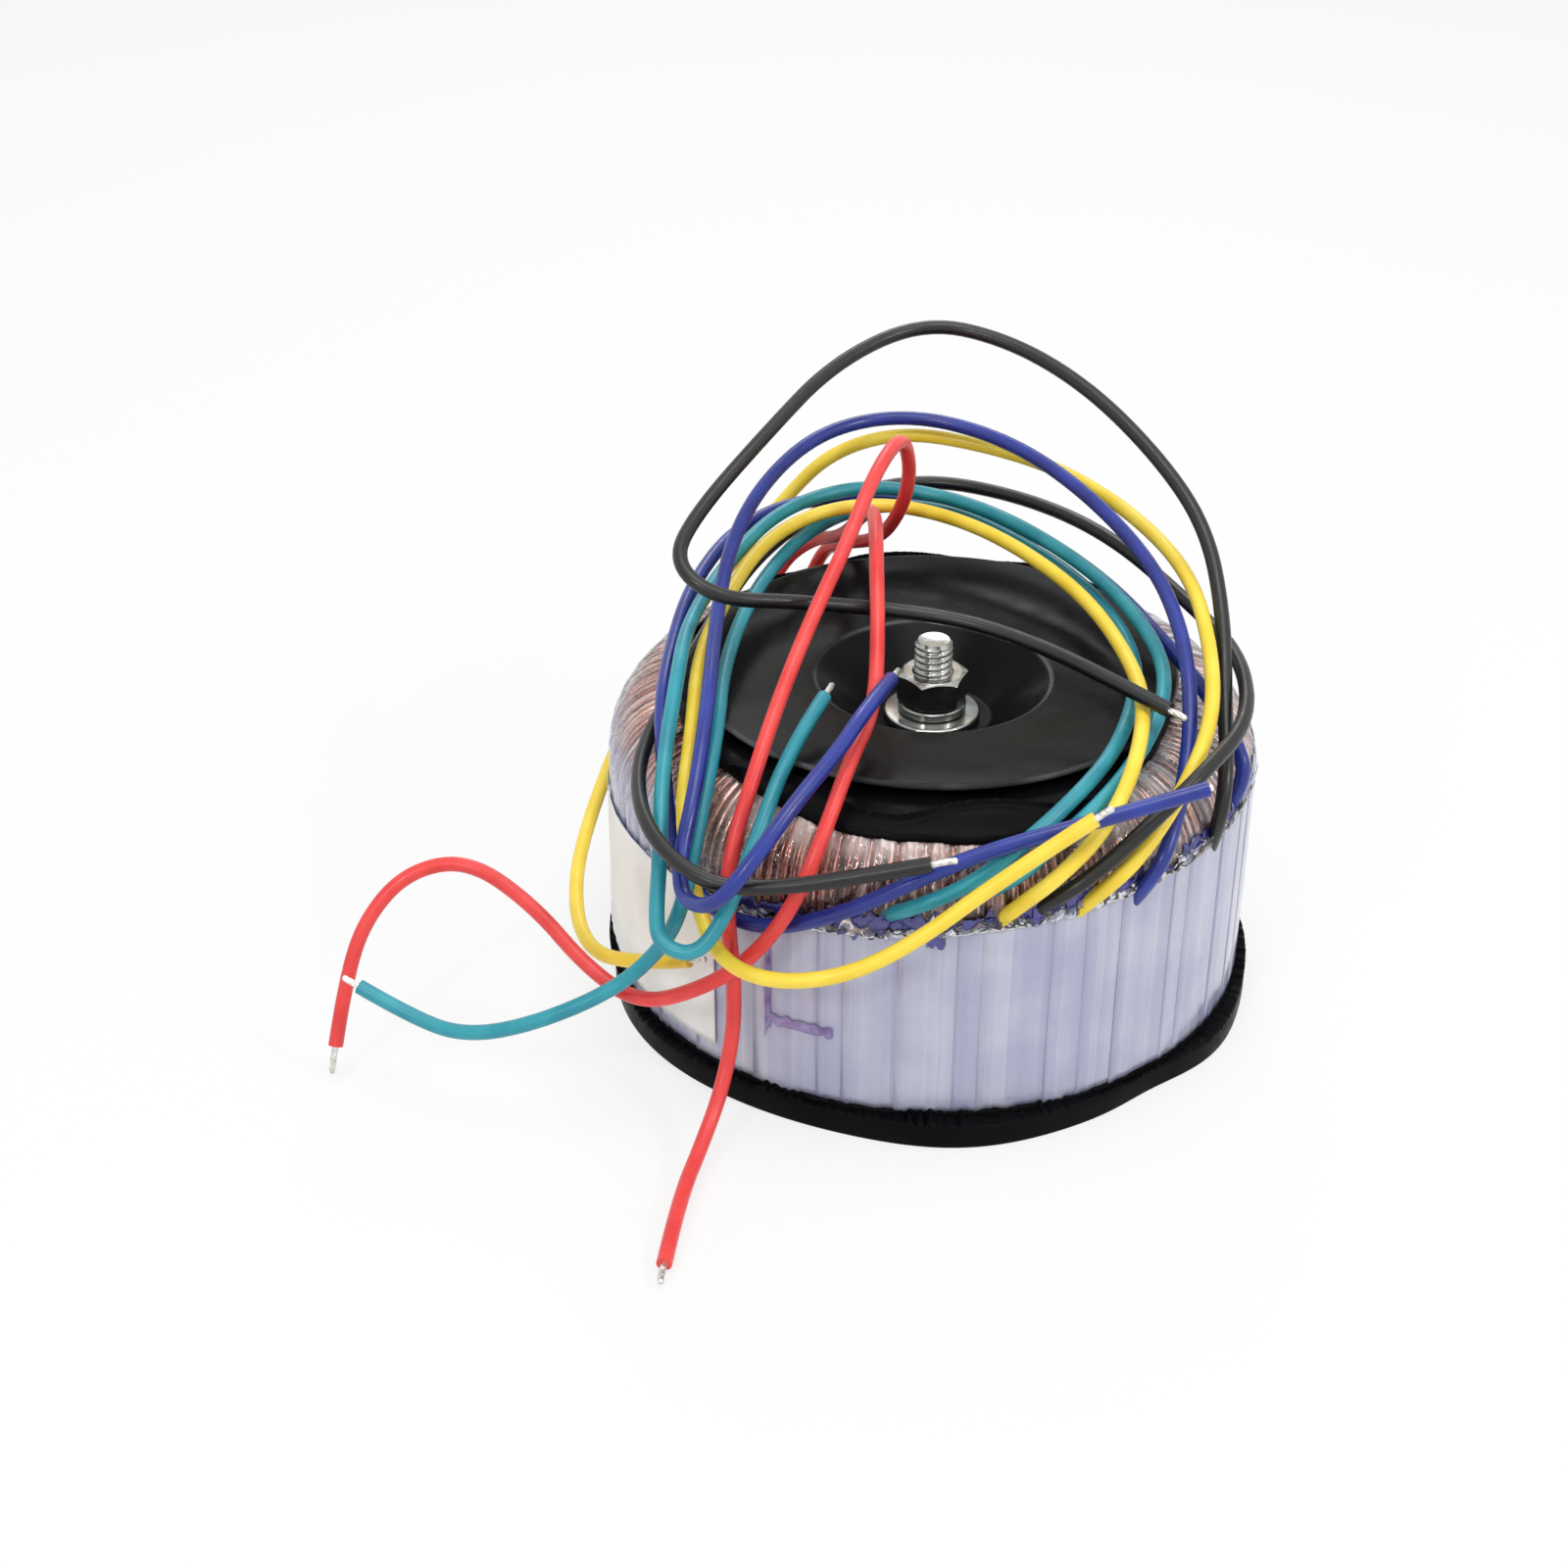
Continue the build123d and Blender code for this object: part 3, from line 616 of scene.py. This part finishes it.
# ---- copper turns ----------------------------------------
def turns_tree(sizes):
    """One turn of wire, swept round the section and repeated round the ring in bundles."""
    tree, size = geometry_tree("turns of wire", sizes)
    plus, _, times, over = sums(tree)

    def drawn(**sockets):
        draw = add(tree, "FunctionNodeRandomValue", sockets, data_type="FLOAT")
        return [socket for socket in draw.outputs if socket.enabled][0]

    section = result(tree, "GeometryNodeMeshToCurve", {"Mesh": size["Geometry"]})
    wire = add(tree, "GeometryNodeCurvePrimitiveCircle", {"Resolution": 6, "Radius": size["Wire radius"]})
    one = result(tree, "GeometryNodeCurveToMesh", {"Curve": section, "Profile Curve": wire.outputs[0]})
    index = result(tree, "GeometryNodeInputIndex")
    even = times(over(index, size["Turns"]), turn)
    wave = maths(tree, "SINE", times(even, size["Bundles"]))
    bunched = plus(even, times(wave, size["Bunching"]))
    slant = drawn(Min=times(size["Slant"], -1.0), Max=size["Slant"], Seed=size["Seed"])
    rotation = result(tree, "ShaderNodeCombineXYZ", {"X": slant, "Z": bunched})
    rotation = result(tree, "FunctionNodeEulerToRotation", {0: rotation})
    points = result(tree, "GeometryNodePoints", {"Count": size["Turns"]})
    toned = stored(tree, points, "tone", drawn(Seed=plus(size["Seed"], 7.0)))
    many = result(tree, "GeometryNodeInstanceOnPoints", {"Points": toned, "Instance": one,
                                                         "Rotation": rotation})
    close_tree(tree, many, "enamelled_copper")
    return tree


def section_loop(inset, steps):
    """The section as a closed line of edges in the XZ plane."""
    points = [Vector((r, 0, z)) * MM for r, z in ring_section(inset, steps)]
    loop = bpy.data.meshes.new("section")
    loop.from_pydata(points, [(i, (i + 1) % len(points)) for i in range(len(points))], [])
    return loop


wire_r = 0.55
for name, depth, many, seed, nodes in (("outer_turns", 0.0, 288, 3, ("secondary_winding",)),
                                       ("under_turns", 1.35, 264, 11, ())):
    sizes = {"Turns": many, "Bundles": float(bundles), "Bunching": 0.0035, "Wire radius": wire_r * MM,
             "Slant": 0.011, "Seed": seed}
    wound = grown(section_loop(film_t + wire_r + depth, 4), turns_tree(sizes), sizes)
    tidy(wound)
    piece(name, wound, "enamelled_copper", *nodes)


# ---- clear film ------------------------------------------
def film_mesh():
    """Film drawn over the bundles: pillows by the pad's edge, slanting ridges low on the left
    shoulder, sharp crinkles elsewhere, and plain film down the side and underneath."""
    profile = ring_section(0, 11)
    steps = bundles * 16
    rows, milk, tint = [], [], []
    for i in range(steps):
        angle = turn * i / steps - pi
        east, south = cos(angle), -sin(angle)
        left, right = between(-east, 0.45, 0.8), between(east, 0.35, 0.8)
        front = between(south, 0.25, 0.75) * ((1 - left) * (1 - 0.7 * right))
        wave = abs(sin(bundles * angle / 2 + 0.5 * lumps(angle * 11, 0, 5.0)))
        pillow, valley = wave ** 0.5, 1 - wave ** 0.35
        row = []
        for j, (r, z) in enumerate(profile):
            shown = between(z, 44, 50)                       # above the side wrap
            by_pad = between(z, 59, 62) * front              # beside the upper pad
            skirt = shown * (1 - between(z, 57, 61))         # between the two
            fold = lumps(angle * 60, z * 0.12, 2.0)
            crinkle = lumps(angle * 130, z * 0.5, r * 0.4)
            tuck = abs(lumps(angle * 32, z * 0.35, 6.0))
            ridge = abs(sin(bundles * 0.75 * angle + z * 0.30 + 2 * fold))
            lift = shown * (0.2 * fold + 0.16 * crinkle)
            lift += by_pad * (0.55 * pillow - 0.35 + 0.25 * tuck)
            lift += shown * (1 - by_pad) * (0.1 - 0.3 * valley)
            lift += shown * left * between(62 - z, 0, 8) * 0.42 * (ridge - 0.4)
            lift += skirt * front * 0.7 * (0.35 - tuck * 1.6)
            (r_before, z_before), (r_after, z_after) = profile[j - 1], profile[(j + 1) % len(profile)]
            along = Vector((r_after - r_before, z_after - z_before)).normalized()
            row.append(spot(angle, r + along.y * lift, z - along.x * lift))
            cloud = lumps(angle * 5, z * 0.06, 9.0)
            stripe = max(0.0, lumps(angle * 38, z * 0.05, 12.0))
            haze = 0.03 + 0.08 * cloud + 0.45 * stripe ** 1.3
            haze += by_pad * (0.62 * pillow - 0.1)
            haze += left * between(60 - z, -3, 9) * (0.3 + 0.35 * ridge)
            haze += right * shown * (0.12 + 0.9 * stripe)
            blue = 0.1 + 0.45 * right + 0.25 * cloud + left * (0.15 + 0.75 * between(64 - z, 0, 10))
            milk.append(max(0.02, min(0.88, haze)))
            tint.append(max(0.0, min(1.0, blue)))
        rows.append(row)
    mesh = grid(rows)
    for name, values in (("milk", milk), ("tint", tint)):
        layer = mesh.attributes.new(name, "FLOAT", "POINT")
        layer.data.foreach_set("value", values)
    return mesh


piece("film", film_mesh(), "clear_film", "clear_film")


# ---- side wrap -------------------------------------------
def wrap_tree(sizes):
    """Upright strips laid out flat, then carried round the ring, each edge over its neighbour."""
    tree, size = geometry_tree("strips of tape", sizes)
    plus, minus, times, over = sums(tree)

    def joined(**axes):
        return result(tree, "ShaderNodeCombineXYZ", axes)

    index = result(tree, "GeometryNodeInputIndex")
    flat = add(tree, "GeometryNodeMeshGrid", {"Size X": size["Spacing"], "Size Y": 1.0,
                                              "Vertices X": 9, "Vertices Y": 34}).outputs["Mesh"]
    starts = add(tree, "GeometryNodePoints", {"Count": size["Strips"], "Position": joined(X=index)})
    laid = add(tree, "GeometryNodeInstanceOnPoints", {"Points": starts.outputs[0], "Instance": flat})
    real = result(tree, "GeometryNodeRealizeInstances", {"Geometry": laid.outputs[0]})
    position = result(tree, "GeometryNodeInputPosition")
    place = add(tree, "ShaderNodeSeparateXYZ", {0: position}).outputs
    strip = maths(tree, "ROUND", place["X"])
    across = plus(over(minus(place["X"], strip), size["Spacing"]), 0.5)
    up = plus(place["Y"], 0.5)

    def start_of(number):
        jitter = times(maths(tree, "SINE", times(number, 2.4)), 0.28)
        return times(over(plus(number, jitter), size["Strips"]), turn)

    first = start_of(strip)
    width = plus(minus(start_of(plus(strip, 1.0)), first), size["Overlap"])
    angle = plus(first, times(width, across))
    tear = add(tree, "ShaderNodeTexNoise", {"W": times(angle, size["Torn"]), "Scale": 1.0, "Detail": 3.0},
               noise_dimensions="1D").outputs["Fac"]
    torn = minus(tear, 0.5)
    ragged = plus(times(maths(tree, "SINE", times(strip, 1.9)), size["Ragged"]),
                  times(torn, times(size["Ragged"], 5.0)))
    tilt = times(maths(tree, "COSINE", minus(angle, size["Highest at"])), size["Tilt"])
    top = plus(size["Top"], plus(ragged, tilt))
    foot = minus(size["Low"], times(maths(tree, "ABSOLUTE", torn), size["Scallop"]))
    height = plus(foot, times(up, minus(top, foot)))
    ripple_at = joined(X=times(angle, 40.0), Y=times(height, 22.0), Z=strip)
    ripple = add(tree, "ShaderNodeTexNoise", {"Vector": ripple_at, "Scale": 1.0, "Detail": 2.0})
    rise = times(minus(1.0, across), size["Step"])
    above = maths(tree, "MAXIMUM", minus(height, size["Shoulder"]), 0.0)
    bend = size["Shoulder radius"]
    chord = maths(tree, "SQRT", minus(times(bend, bend), times(above, above)))
    radius = plus(plus(size["Radius"], rise), times(minus(ripple.outputs["Fac"], 0.5), size["Ripple"]))
    radius = minus(radius, minus(bend, chord))
    moved = joined(X=times(radius, maths(tree, "COSINE", angle)),
                   Y=times(radius, maths(tree, "SINE", angle)), Z=height)
    run = plus(times(angle, over(size["Radius"], MM)), times(strip, size["Run on"]))
    marked = stored(tree, real, "run", run)
    bent = result(tree, "GeometryNodeSetPosition", {"Geometry": marked, "Position": moved})
    close_tree(tree, bent, "milky_tape")
    return tree


# Lengths in metres, apart from Run on: the tape's pattern is laid out in millimetres.
wrap_sizes = {"Strips": strips, "Spacing": 0.98, "Overlap": 0.05, "Radius": (wrap_r - 0.5) * MM,
              "Step": 0.13 * MM, "Ripple": 0.3 * MM, "Low": (wrap_low + 0.5) * MM, "Scallop": 5.0 * MM,
              "Top": wrap_top * MM, "Tilt": wrap_tilt * MM, "Highest at": wrap_high_at,
              "Ragged": 0.55 * MM, "Torn": 55.0, "Shoulder": shoulder_low * MM,
              "Shoulder radius": top_round * MM, "Run on": 3.0}
wrap = grown(bpy.data.meshes.new("strips"), wrap_tree(wrap_sizes), wrap_sizes, strip_t)
piece("wrap_strips", wrap, "milky_tape", "side_wrap")


def band(radius, thickness, place, steps, rows, start=0.0, end=360.0):
    """A thin curved band, closed all round its edge, from one angle to another in degrees.
    place(angle, share) says how far out and how high a place lies."""
    whole = end - start == 360
    loops = []
    for i in range(steps if whole else steps + 1):
        angle = radians(start + (end - start) * i / steps)
        there = [place(angle, k / rows) for k in range(rows + 1)]
        loops.append([spot(angle, radius + out + thickness, height) for out, height in there]
                     + [spot(angle, radius + out, height) for out, height in there[::-1]])
    mesh = grid(loops, close_rows=whole)
    if not whole:
        tidy(mesh, fill=True)
    return mesh


def wrap_edge(angle):
    """Height of the wrap's top edge."""
    return wrap_top + wrap_tilt * cos(angle - wrap_high_at)


def shoulder_in(height):
    """How far the ring's shoulder has curved inwards at a height."""
    over = min(max(0.0, height - shoulder_low), top_round)
    return top_round - sqrt(top_round ** 2 - over ** 2)


def navy_place(angle, share):
    """Torn tape: patches stand clear of the wrap at the front and it is lost behind it elsewhere."""
    patch = lumps(angle * 9, 0, 4.0) + 0.6 * lumps(angle * 34, 0, 1.0)
    front = between(-sin(angle), 0.1, 0.7) * between(cos(angle), -0.75, -0.4)
    over = -1.2 + 1.2 * between(-sin(angle), 0.0, 0.3)
    over += front * (2.0 + 5.5 * patch + 1.8 * hill(angle, -108, 14))
    height = navy_low + share * (min(wrap_edge(angle) + over, navy_highest) - navy_low)
    clear_of_wrap = between(height - wrap_edge(angle), -0.6, 0.2)
    out = clear_of_wrap * (0.3 + 0.35 * lumps(angle * 48, height * 0.5, 6.0))
    return out - shoulder_in(height), height


piece("navy_band", band(film_r + 0.02, 0.1, navy_place, 1080, 8), "navy_tape", "navy_tape")


def frill_place(angle, share):
    """Loose film that stands up from the wrap's top edge in sharp folds."""
    front = between(-sin(angle), 0.1, 0.6)
    rag = lumps(angle * 21, 0, 14.0) + 0.3 * lumps(angle * 55, 0, 15.0)
    height = wrap_edge(angle) - 1.6 + share * (0.7 + front * (1.9 + 4.0 * rag))
    crush = abs(lumps(angle * 24, height * 0.4, 16.0))
    out = (0.25 + 1.8 * front * crush) * (0.4 + share)
    return out - shoulder_in(height), height


piece("film_frill", band(film_r + 0.45, 0.05, frill_place, 1400, 8, -131, -8), "clear_film",
      look="loose_film")

# Scraps of the blue tape by the wrap, as (start, end) in degrees and (low, high). The first
# ones lie under the milky strips.
veiled = 2
scraps = [((-116.7, -115.6), (20.5, 39.5)), ((-116.2, -104.5), (21.0, 23.2)),
          ((-118.5, -114.5), (42.5, 44.2)), ((-104.0, -95.5), (45.8, 50.6)),
          ((-89.5, -86.5), (44.8, 49.2)), ((-84.0, -78.0), (48.8, 50.8)),
          ((-72.6, -70.6), (48.4, 52.4)), ((-67.0, -63.8), (49.6, 53.2)),
          ((-52.2, -50.4), (49.8, 53.8))]
for number, ((start, end), (low, high)) in enumerate(scraps):
    def torn_place(angle, share):
        rag = lumps(angle * 45, share, 20.0 + number) + 0.4 * lumps(angle * 120, share, 30.0 + number)
        height = low + (high - low) * share
        return 0.05 * rag - shoulder_in(height), height + 0.45 * (high - low) * rag * (2 * share - 1)
    piece(f"blue_scrap_{number + 1}", band(wrap_r - 0.02, 0.06, torn_place, 24, 8, start, end),
          "navy_tape", look="veiled_tape" if number < veiled else None)


def label_place(angle, share):
    """Paper that is creased, lifts at its low corner and is trimmed along the wrap's top edge."""
    crease = lumps(angle * 9 + share * 2.4, share * 1.2, 3.0)
    fine = abs(lumps(angle * 24 + share * 5, share * 4 - angle * 6, 7.0))
    low_corner = between(-cos(angle), 0.8, 1.0) * between(0.45 - share, 0.0, 0.3)
    trim = max(0.0, label_high - wrap_edge(angle) - 0.5 + 0.4 * lumps(angle * 15, 0, 21.0))
    out = 0.05 + 0.12 * max(0.0, crease) + low_corner * 0.5 * fine
    return out, label_low + (label_high - label_low) * share - share * trim


piece("bare_label", band(wrap_r + 0.02, 0.12, label_place, 90, 24, 184, 233), "label_paper",
      "blank_label")

# ---- rubber pads -----------------------------------------
low_washer_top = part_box("bottom_washer")[1].z / MM
flat_to, rim_from = 60.0, 3.4        # the lower pad stays plain inside this radius, below this height
pad_hills = [(-82, 17, 2.4), (-30, 13, 1.5), (-47, 9, -1.2), (-140, 16, 0.7), (-172, 14, -1.8)]


def lower_pad_shift(angle, r, z):
    """The pad's cut edge bulges and draws in round the ring, and its rim is uneven where it turns up."""
    if r < flat_to:
        return r, z
    edge = pad_r - 1.0
    for middle, width, rise in pad_hills:
        edge += rise * hill(angle, middle, width)
    nick = abs(lumps(angle * 34, 0, 3.0)) + 0.6 * abs(lumps(angle * 90, 0, 5.0))
    if z > rim_from and r < pad_r - 1.0:
        out = max(r, film_r + 0.1) if z > 5 else r
    else:
        out = flat_to + (r - flat_to) / (pad_r - flat_to) * (edge - flat_to)
    return out, z + between(z, rim_from, 5.0) * (1.3 * nick - 0.5)


pad_profile = ([(18.5, 0), (40, 0), (flat_to, 0), (69.6, 0)] + arc((69.7, 0.6), 0.6, -80, 0, 4)
               + [(70.25, 3.0)] + arc((69.6, 4.9), 0.7, 0, 90, 5)
               + [(68.6, 5.6), (67.4, 5.5)] + arc((63.8, 7.5), 3.0, -25, -90, 4)
               + [(40, 4.5), (21, 4.5), (19.6, 5.4), (14.2, 10.0), (12.6, low_washer_top + 3.0),
                  (bolt_hole_r, low_washer_top + 3.0), (bolt_hole_r, low_washer_top),
                  (12.4, low_washer_top), (13.6, 7.0), (17.9, 0.7)])
piece("lower_pad", turned(pad_profile, 900, lower_pad_shift), "black_rubber", "bottom_pad")

top_pad_t, pad_inner_r = 2.2, 33.5
flat_r, plate_slope = film_r - top_round, (plate_top - cone_top) / (plate_r - cone_r)


def on_ring(r, up):
    """A place `up` millimetres off the ring's top or shoulder, for a radius measured on the ring."""
    if r <= flat_r:
        return r, ring_top + up
    lean = asin(min(1.0, (r - flat_r) / top_round))
    return flat_r + (top_round + up) * sin(lean), shoulder_low + (top_round + up) * cos(lean)


def upper_pad():
    """A soft oval sheet drawn down over the ring's shoulder, creased outside the plate."""
    steps, rings, plain_to = 540, 34, 49.5
    rows = []
    for i in range(steps):
        angle = turn * i / steps
        edge = 54.6 - 3.4 * cos(2 * angle) - 1.85 * cos(angle)
        edge += 0.6 * sin(5 * angle) * cos(2 * angle + 1) + 0.35 * lumps(angle * 9, 0, 2.0)
        edge += hill(angle, -80, 38) * (2.7 + 0.9 * cos(7 * (angle + radians(68))))
        crease = 54.3 + 2.2 * cos(9 * (angle + radians(99))) + 0.5 * lumps(angle * 5, 0, 8.0)
        reach = [pad_inner_r, 38, 42, 45, 47.5, plain_to]
        reach += [plain_to + (edge - plain_to) * k / rings for k in range(1, rings + 1)]
        under = [on_ring(r, 0.1) for r in reach]
        upper = []
        for r in reach:
            fold = exp(-((r - crease) / 0.42) ** 2)
            up = top_pad_t - 0.9 + 1.2 * fold - 0.5 * between(r, edge - 1.0, edge)
            r, z = on_ring(min(r, edge - 0.15), up)
            if r < plate_r - 1:
                z = min(z, cone_top - 1.55 + plate_slope * (r - cone_r))
            upper.append((r, z))
        rows.append([spot(angle, r, z) for r, z in under + upper[::-1]])
    return grid(rows, sharp=50)


piece("upper_pad", upper_pad(), "black_rubber", "top_pad")

# ---- plate, washers, nut and bolt ------------------------
rim_z = plate_top - plate_t / 2
edge_round, foot_round = 1.1, 1.8


def rounded(before, corner, after, radius):
    """Points round a corner of an (r, z) profile, on an arc that touches both its sides."""
    corner = Vector(corner)
    back, on = (Vector(before) - corner).normalized(), (Vector(after) - corner).normalized()
    half, steps = back.angle(on) / 2, 6
    middle = corner + (back + on).normalized() * radius / sin(half)
    start, end = (corner + side * radius / tan(half) - middle for side in (back, on))
    return [tuple(middle + start.lerp(end, i / steps).normalized() * radius) for i in range(steps + 1)]


cone_out = plate_t * tan(atan2(cone_top - floor_top, cone_r - floor_r) / 2)
plate_profile = (arc((plate_r - plate_t / 2, rim_z), plate_t / 2, -80, 95, 10)
                 + rounded((plate_r, plate_top), (cone_r, cone_top), (floor_r, floor_top), edge_round)
                 + rounded((cone_r, cone_top), (floor_r, floor_top), (bolt_hole_r, floor_top), foot_round)
                 + [(bolt_hole_r + bolt_hole_bevel, floor_top), (bolt_hole_r, floor_top - bolt_hole_bevel),
                    (bolt_hole_r, floor_top - plate_t),
                    (floor_r + cone_out, floor_top - plate_t), (cone_r + cone_out, cone_top - plate_t)])
piece("pressed_plate", turned(plate_profile, 256, None, 40), "black_paint", "dished_plate")

washer_r, washer_low, washer_top = 10.0, floor_top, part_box("flat_washer")[1].z / MM
washer_profile = (arc((washer_r - 0.35, washer_low + 0.35), 0.35, -90, 0, 4)
                  + arc((washer_r - 0.5, washer_top - 0.5), 0.5, 0, 90, 5)
                  + [(bolt_hole_r + 0.3, washer_top), (bolt_hole_r, washer_top - bolt_hole_bevel),
                     (bolt_hole_r, washer_low)])
piece("plain_washer", turned(washer_profile, 128), "zinc_plate", "flat_washer")


def split_washer():
    """A spring washer: a square-section ring cut through and sprung a little open."""
    low, high = (corner.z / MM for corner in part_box("spring_washer"))
    outer, inner, bevel = 7.05, 4.35, 0.25
    steps, gap, sprung = 120, radians(7), 0.25
    low, high = low + 0.15, high - 0.15            # room for the spring
    square = [(outer - bevel, low), (outer, low + bevel), (outer, high - bevel), (outer - bevel, high),
              (inner + bevel, high), (inner, high - bevel), (inner, low + bevel), (inner + bevel, low)]
    rows = []
    for i in range(steps + 1):
        share = i / steps
        angle = pi / 2 + gap / 2 + (turn - gap) * share
        rows.append([spot(angle, r, z + sprung * (share - 0.5)) for r, z in square])
    mesh = grid(rows, close_rows=False)
    tidy(mesh, fill=True)
    mesh.set_sharp_from_angle(angle=radians(35))
    return mesh


piece("split_washer", split_washer(), "zinc_plate", "spring_washer")


around = 192                # points round the nut, the bolt's head and its thread


def hex_rings(across, low, high, bore, corner_at):
    """Rings of a hexagon whose corners are turned off top and bottom, for a nut or a bolt head."""
    disc = across / 2 * 0.95
    rows = [[] for _ in range(11)]
    for i in range(around):
        angle = turn * i / around
        out = across / 2 / cos((angle - corner_at) % (pi / 3) - pi / 6)
        fall = (out - disc) * 0.55
        section = ((bore, low + 0.4), (bore + 0.5, low), (disc, low), (out - 0.1, low + fall),
                   (out, low + fall + 0.12), (out, high - fall - 0.12), (out - 0.1, high - fall),
                   (disc, high - 0.12), (disc - 0.15, high), (bore + 0.7, high), (bore, high - 0.6))
        for row, (r, z) in zip(rows, section):
            row.append(spot(angle, r, z))
    return rows


nut = grid(hex_rings(nut_af, nut_low, nut_top, bolt_r - 0.35, radians(-107)), sharp=25)
piece("nut", nut, "zinc_plate", "hex_nut")


def threaded_bolt():
    """Hexagon head, plain hidden shank, and a rolled thread that runs out at a chamfered end."""
    head_low, head_high, thread_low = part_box("bolt")[0].z / MM, 6.0, 52.0
    shank_r, crest, root = 3.55, bolt_r - 0.03, bolt_r - 0.6

    def ring(r, z):
        return [spot(turn * i / around, r, z) for i in range(around)]

    head = hex_rings(nut_af, head_low, head_high, shank_r, pi / 6)[:9]
    head[0] = ring(0, head_low)
    thread = []
    level = thread_low
    while level <= bolt_end + 1e-6:
        row = []
        for i in range(around):
            phase = (level / thread_pitch - i / around) % 1.0
            depth = 0.5 - 0.5 * cos(turn * phase)
            r = min(crest - (crest - root) * depth ** 1.4, bolt_r - 0.8 + 0.9 * (bolt_end - level))
            row.append(spot(turn * i / around, r, level))
        thread.append(row)
        level += thread_pitch / 10
    rows = head + [ring(shank_r, head_high), ring(shank_r, thread_low - 0.2)] + thread
    rows += [ring(2.2, bolt_end - 0.15), ring(0, bolt_end - 0.3)]
    return grid(rows, close_rows=False, sharp=40)


piece("threaded_bolt", threaded_bolt(), "zinc_plate", "bolt")

# ---- kept CAD nodes --------------------------------------
# The insulation layers take the darkened finish that paints the shade in the winding's gaps.
kept = {"steel_core": "core_steel", "core_insulation": "white_polyester",
        "primary_winding": "enamelled_copper", "interwinding_insulation": "white_polyester",
        "bottom_washer": "zinc_plate"}
for name, look in kept.items():
    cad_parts[name].data.materials.clear()
    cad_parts[name].data.materials.append(finishes[look])

# ---- floor, world and lamps ------------------------------
def backdrop(owner, output, lit_kind, lit_by, white_kind, whiteness):
    """Gives the floor or the world its two shaders: one that lights the part, and plain white for
    rays that reach it directly, in a reflection or through something clear."""
    owner.use_nodes = True
    tree = owner.node_tree
    tree.nodes.clear()
    path = add(tree, "ShaderNodeLightPath").outputs
    views = maths(tree, "MAXIMUM", maths(tree, "MAXIMUM", path["Is Camera Ray"], path["Is Glossy Ray"]),
                  path["Is Transmission Ray"])
    mixed = result(tree, "ShaderNodeMixShader", {
        0: maths(tree, "MULTIPLY", views, whiteness), 1: result(tree, lit_kind, lit_by),
        2: result(tree, white_kind, {"Color": (1, 1, 1, 1), "Strength": 1.0})})
    add(tree, output, {"Surface": mixed})


ground = bpy.data.meshes.new("floor")
ground.from_pydata([(-4, -4, 0), (4, -4, 0), (4, 4, 0), (-4, 4, 0)], [], [(0, 1, 2, 3)])
ground.materials.append(bpy.data.materials.new("pale_floor"))
backdrop(ground.materials[0], "ShaderNodeOutputMaterial", "ShaderNodeBsdfDiffuse",
         {"Color": (0.86, 0.86, 0.86, 1)}, "ShaderNodeEmission", 0.75)
put("floor", ground)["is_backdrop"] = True

scene.world = bpy.data.worlds.new("studio")
backdrop(scene.world, "ShaderNodeOutputWorld", "ShaderNodeBackground",
         {"Color": (1, 1, 1, 1), "Strength": 0.62}, "ShaderNodeBackground", 1.0)


def lamp(name, place, size, power):
    """A round lamp that points at the middle of the part."""
    light = bpy.data.lights.new(name, "AREA")
    light.shape, light.size, light.energy = "DISK", size, power
    holder = put(name, light)
    holder.location = place
    holder.rotation_euler = (Vector((0, 0, 0.05)) - Vector(place)).to_track_quat("-Z", "Y").to_euler()


# Name, place in metres, disk size in metres and power in watts.
lamp("top_softbox", (0.05, -0.15, 1.1), 0.7, 4.2)
lamp("front_lamp", (-0.45, -0.85, 0.75), 0.16, 2.0)
lamp("right_lamp", (0.75, -0.45, 0.7), 0.16, 2.4)
lamp("back_lamp", (-0.06, 0.8, 0.72), 0.3, 1.3)

scene.view_settings.view_transform = "Standard"

low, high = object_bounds()
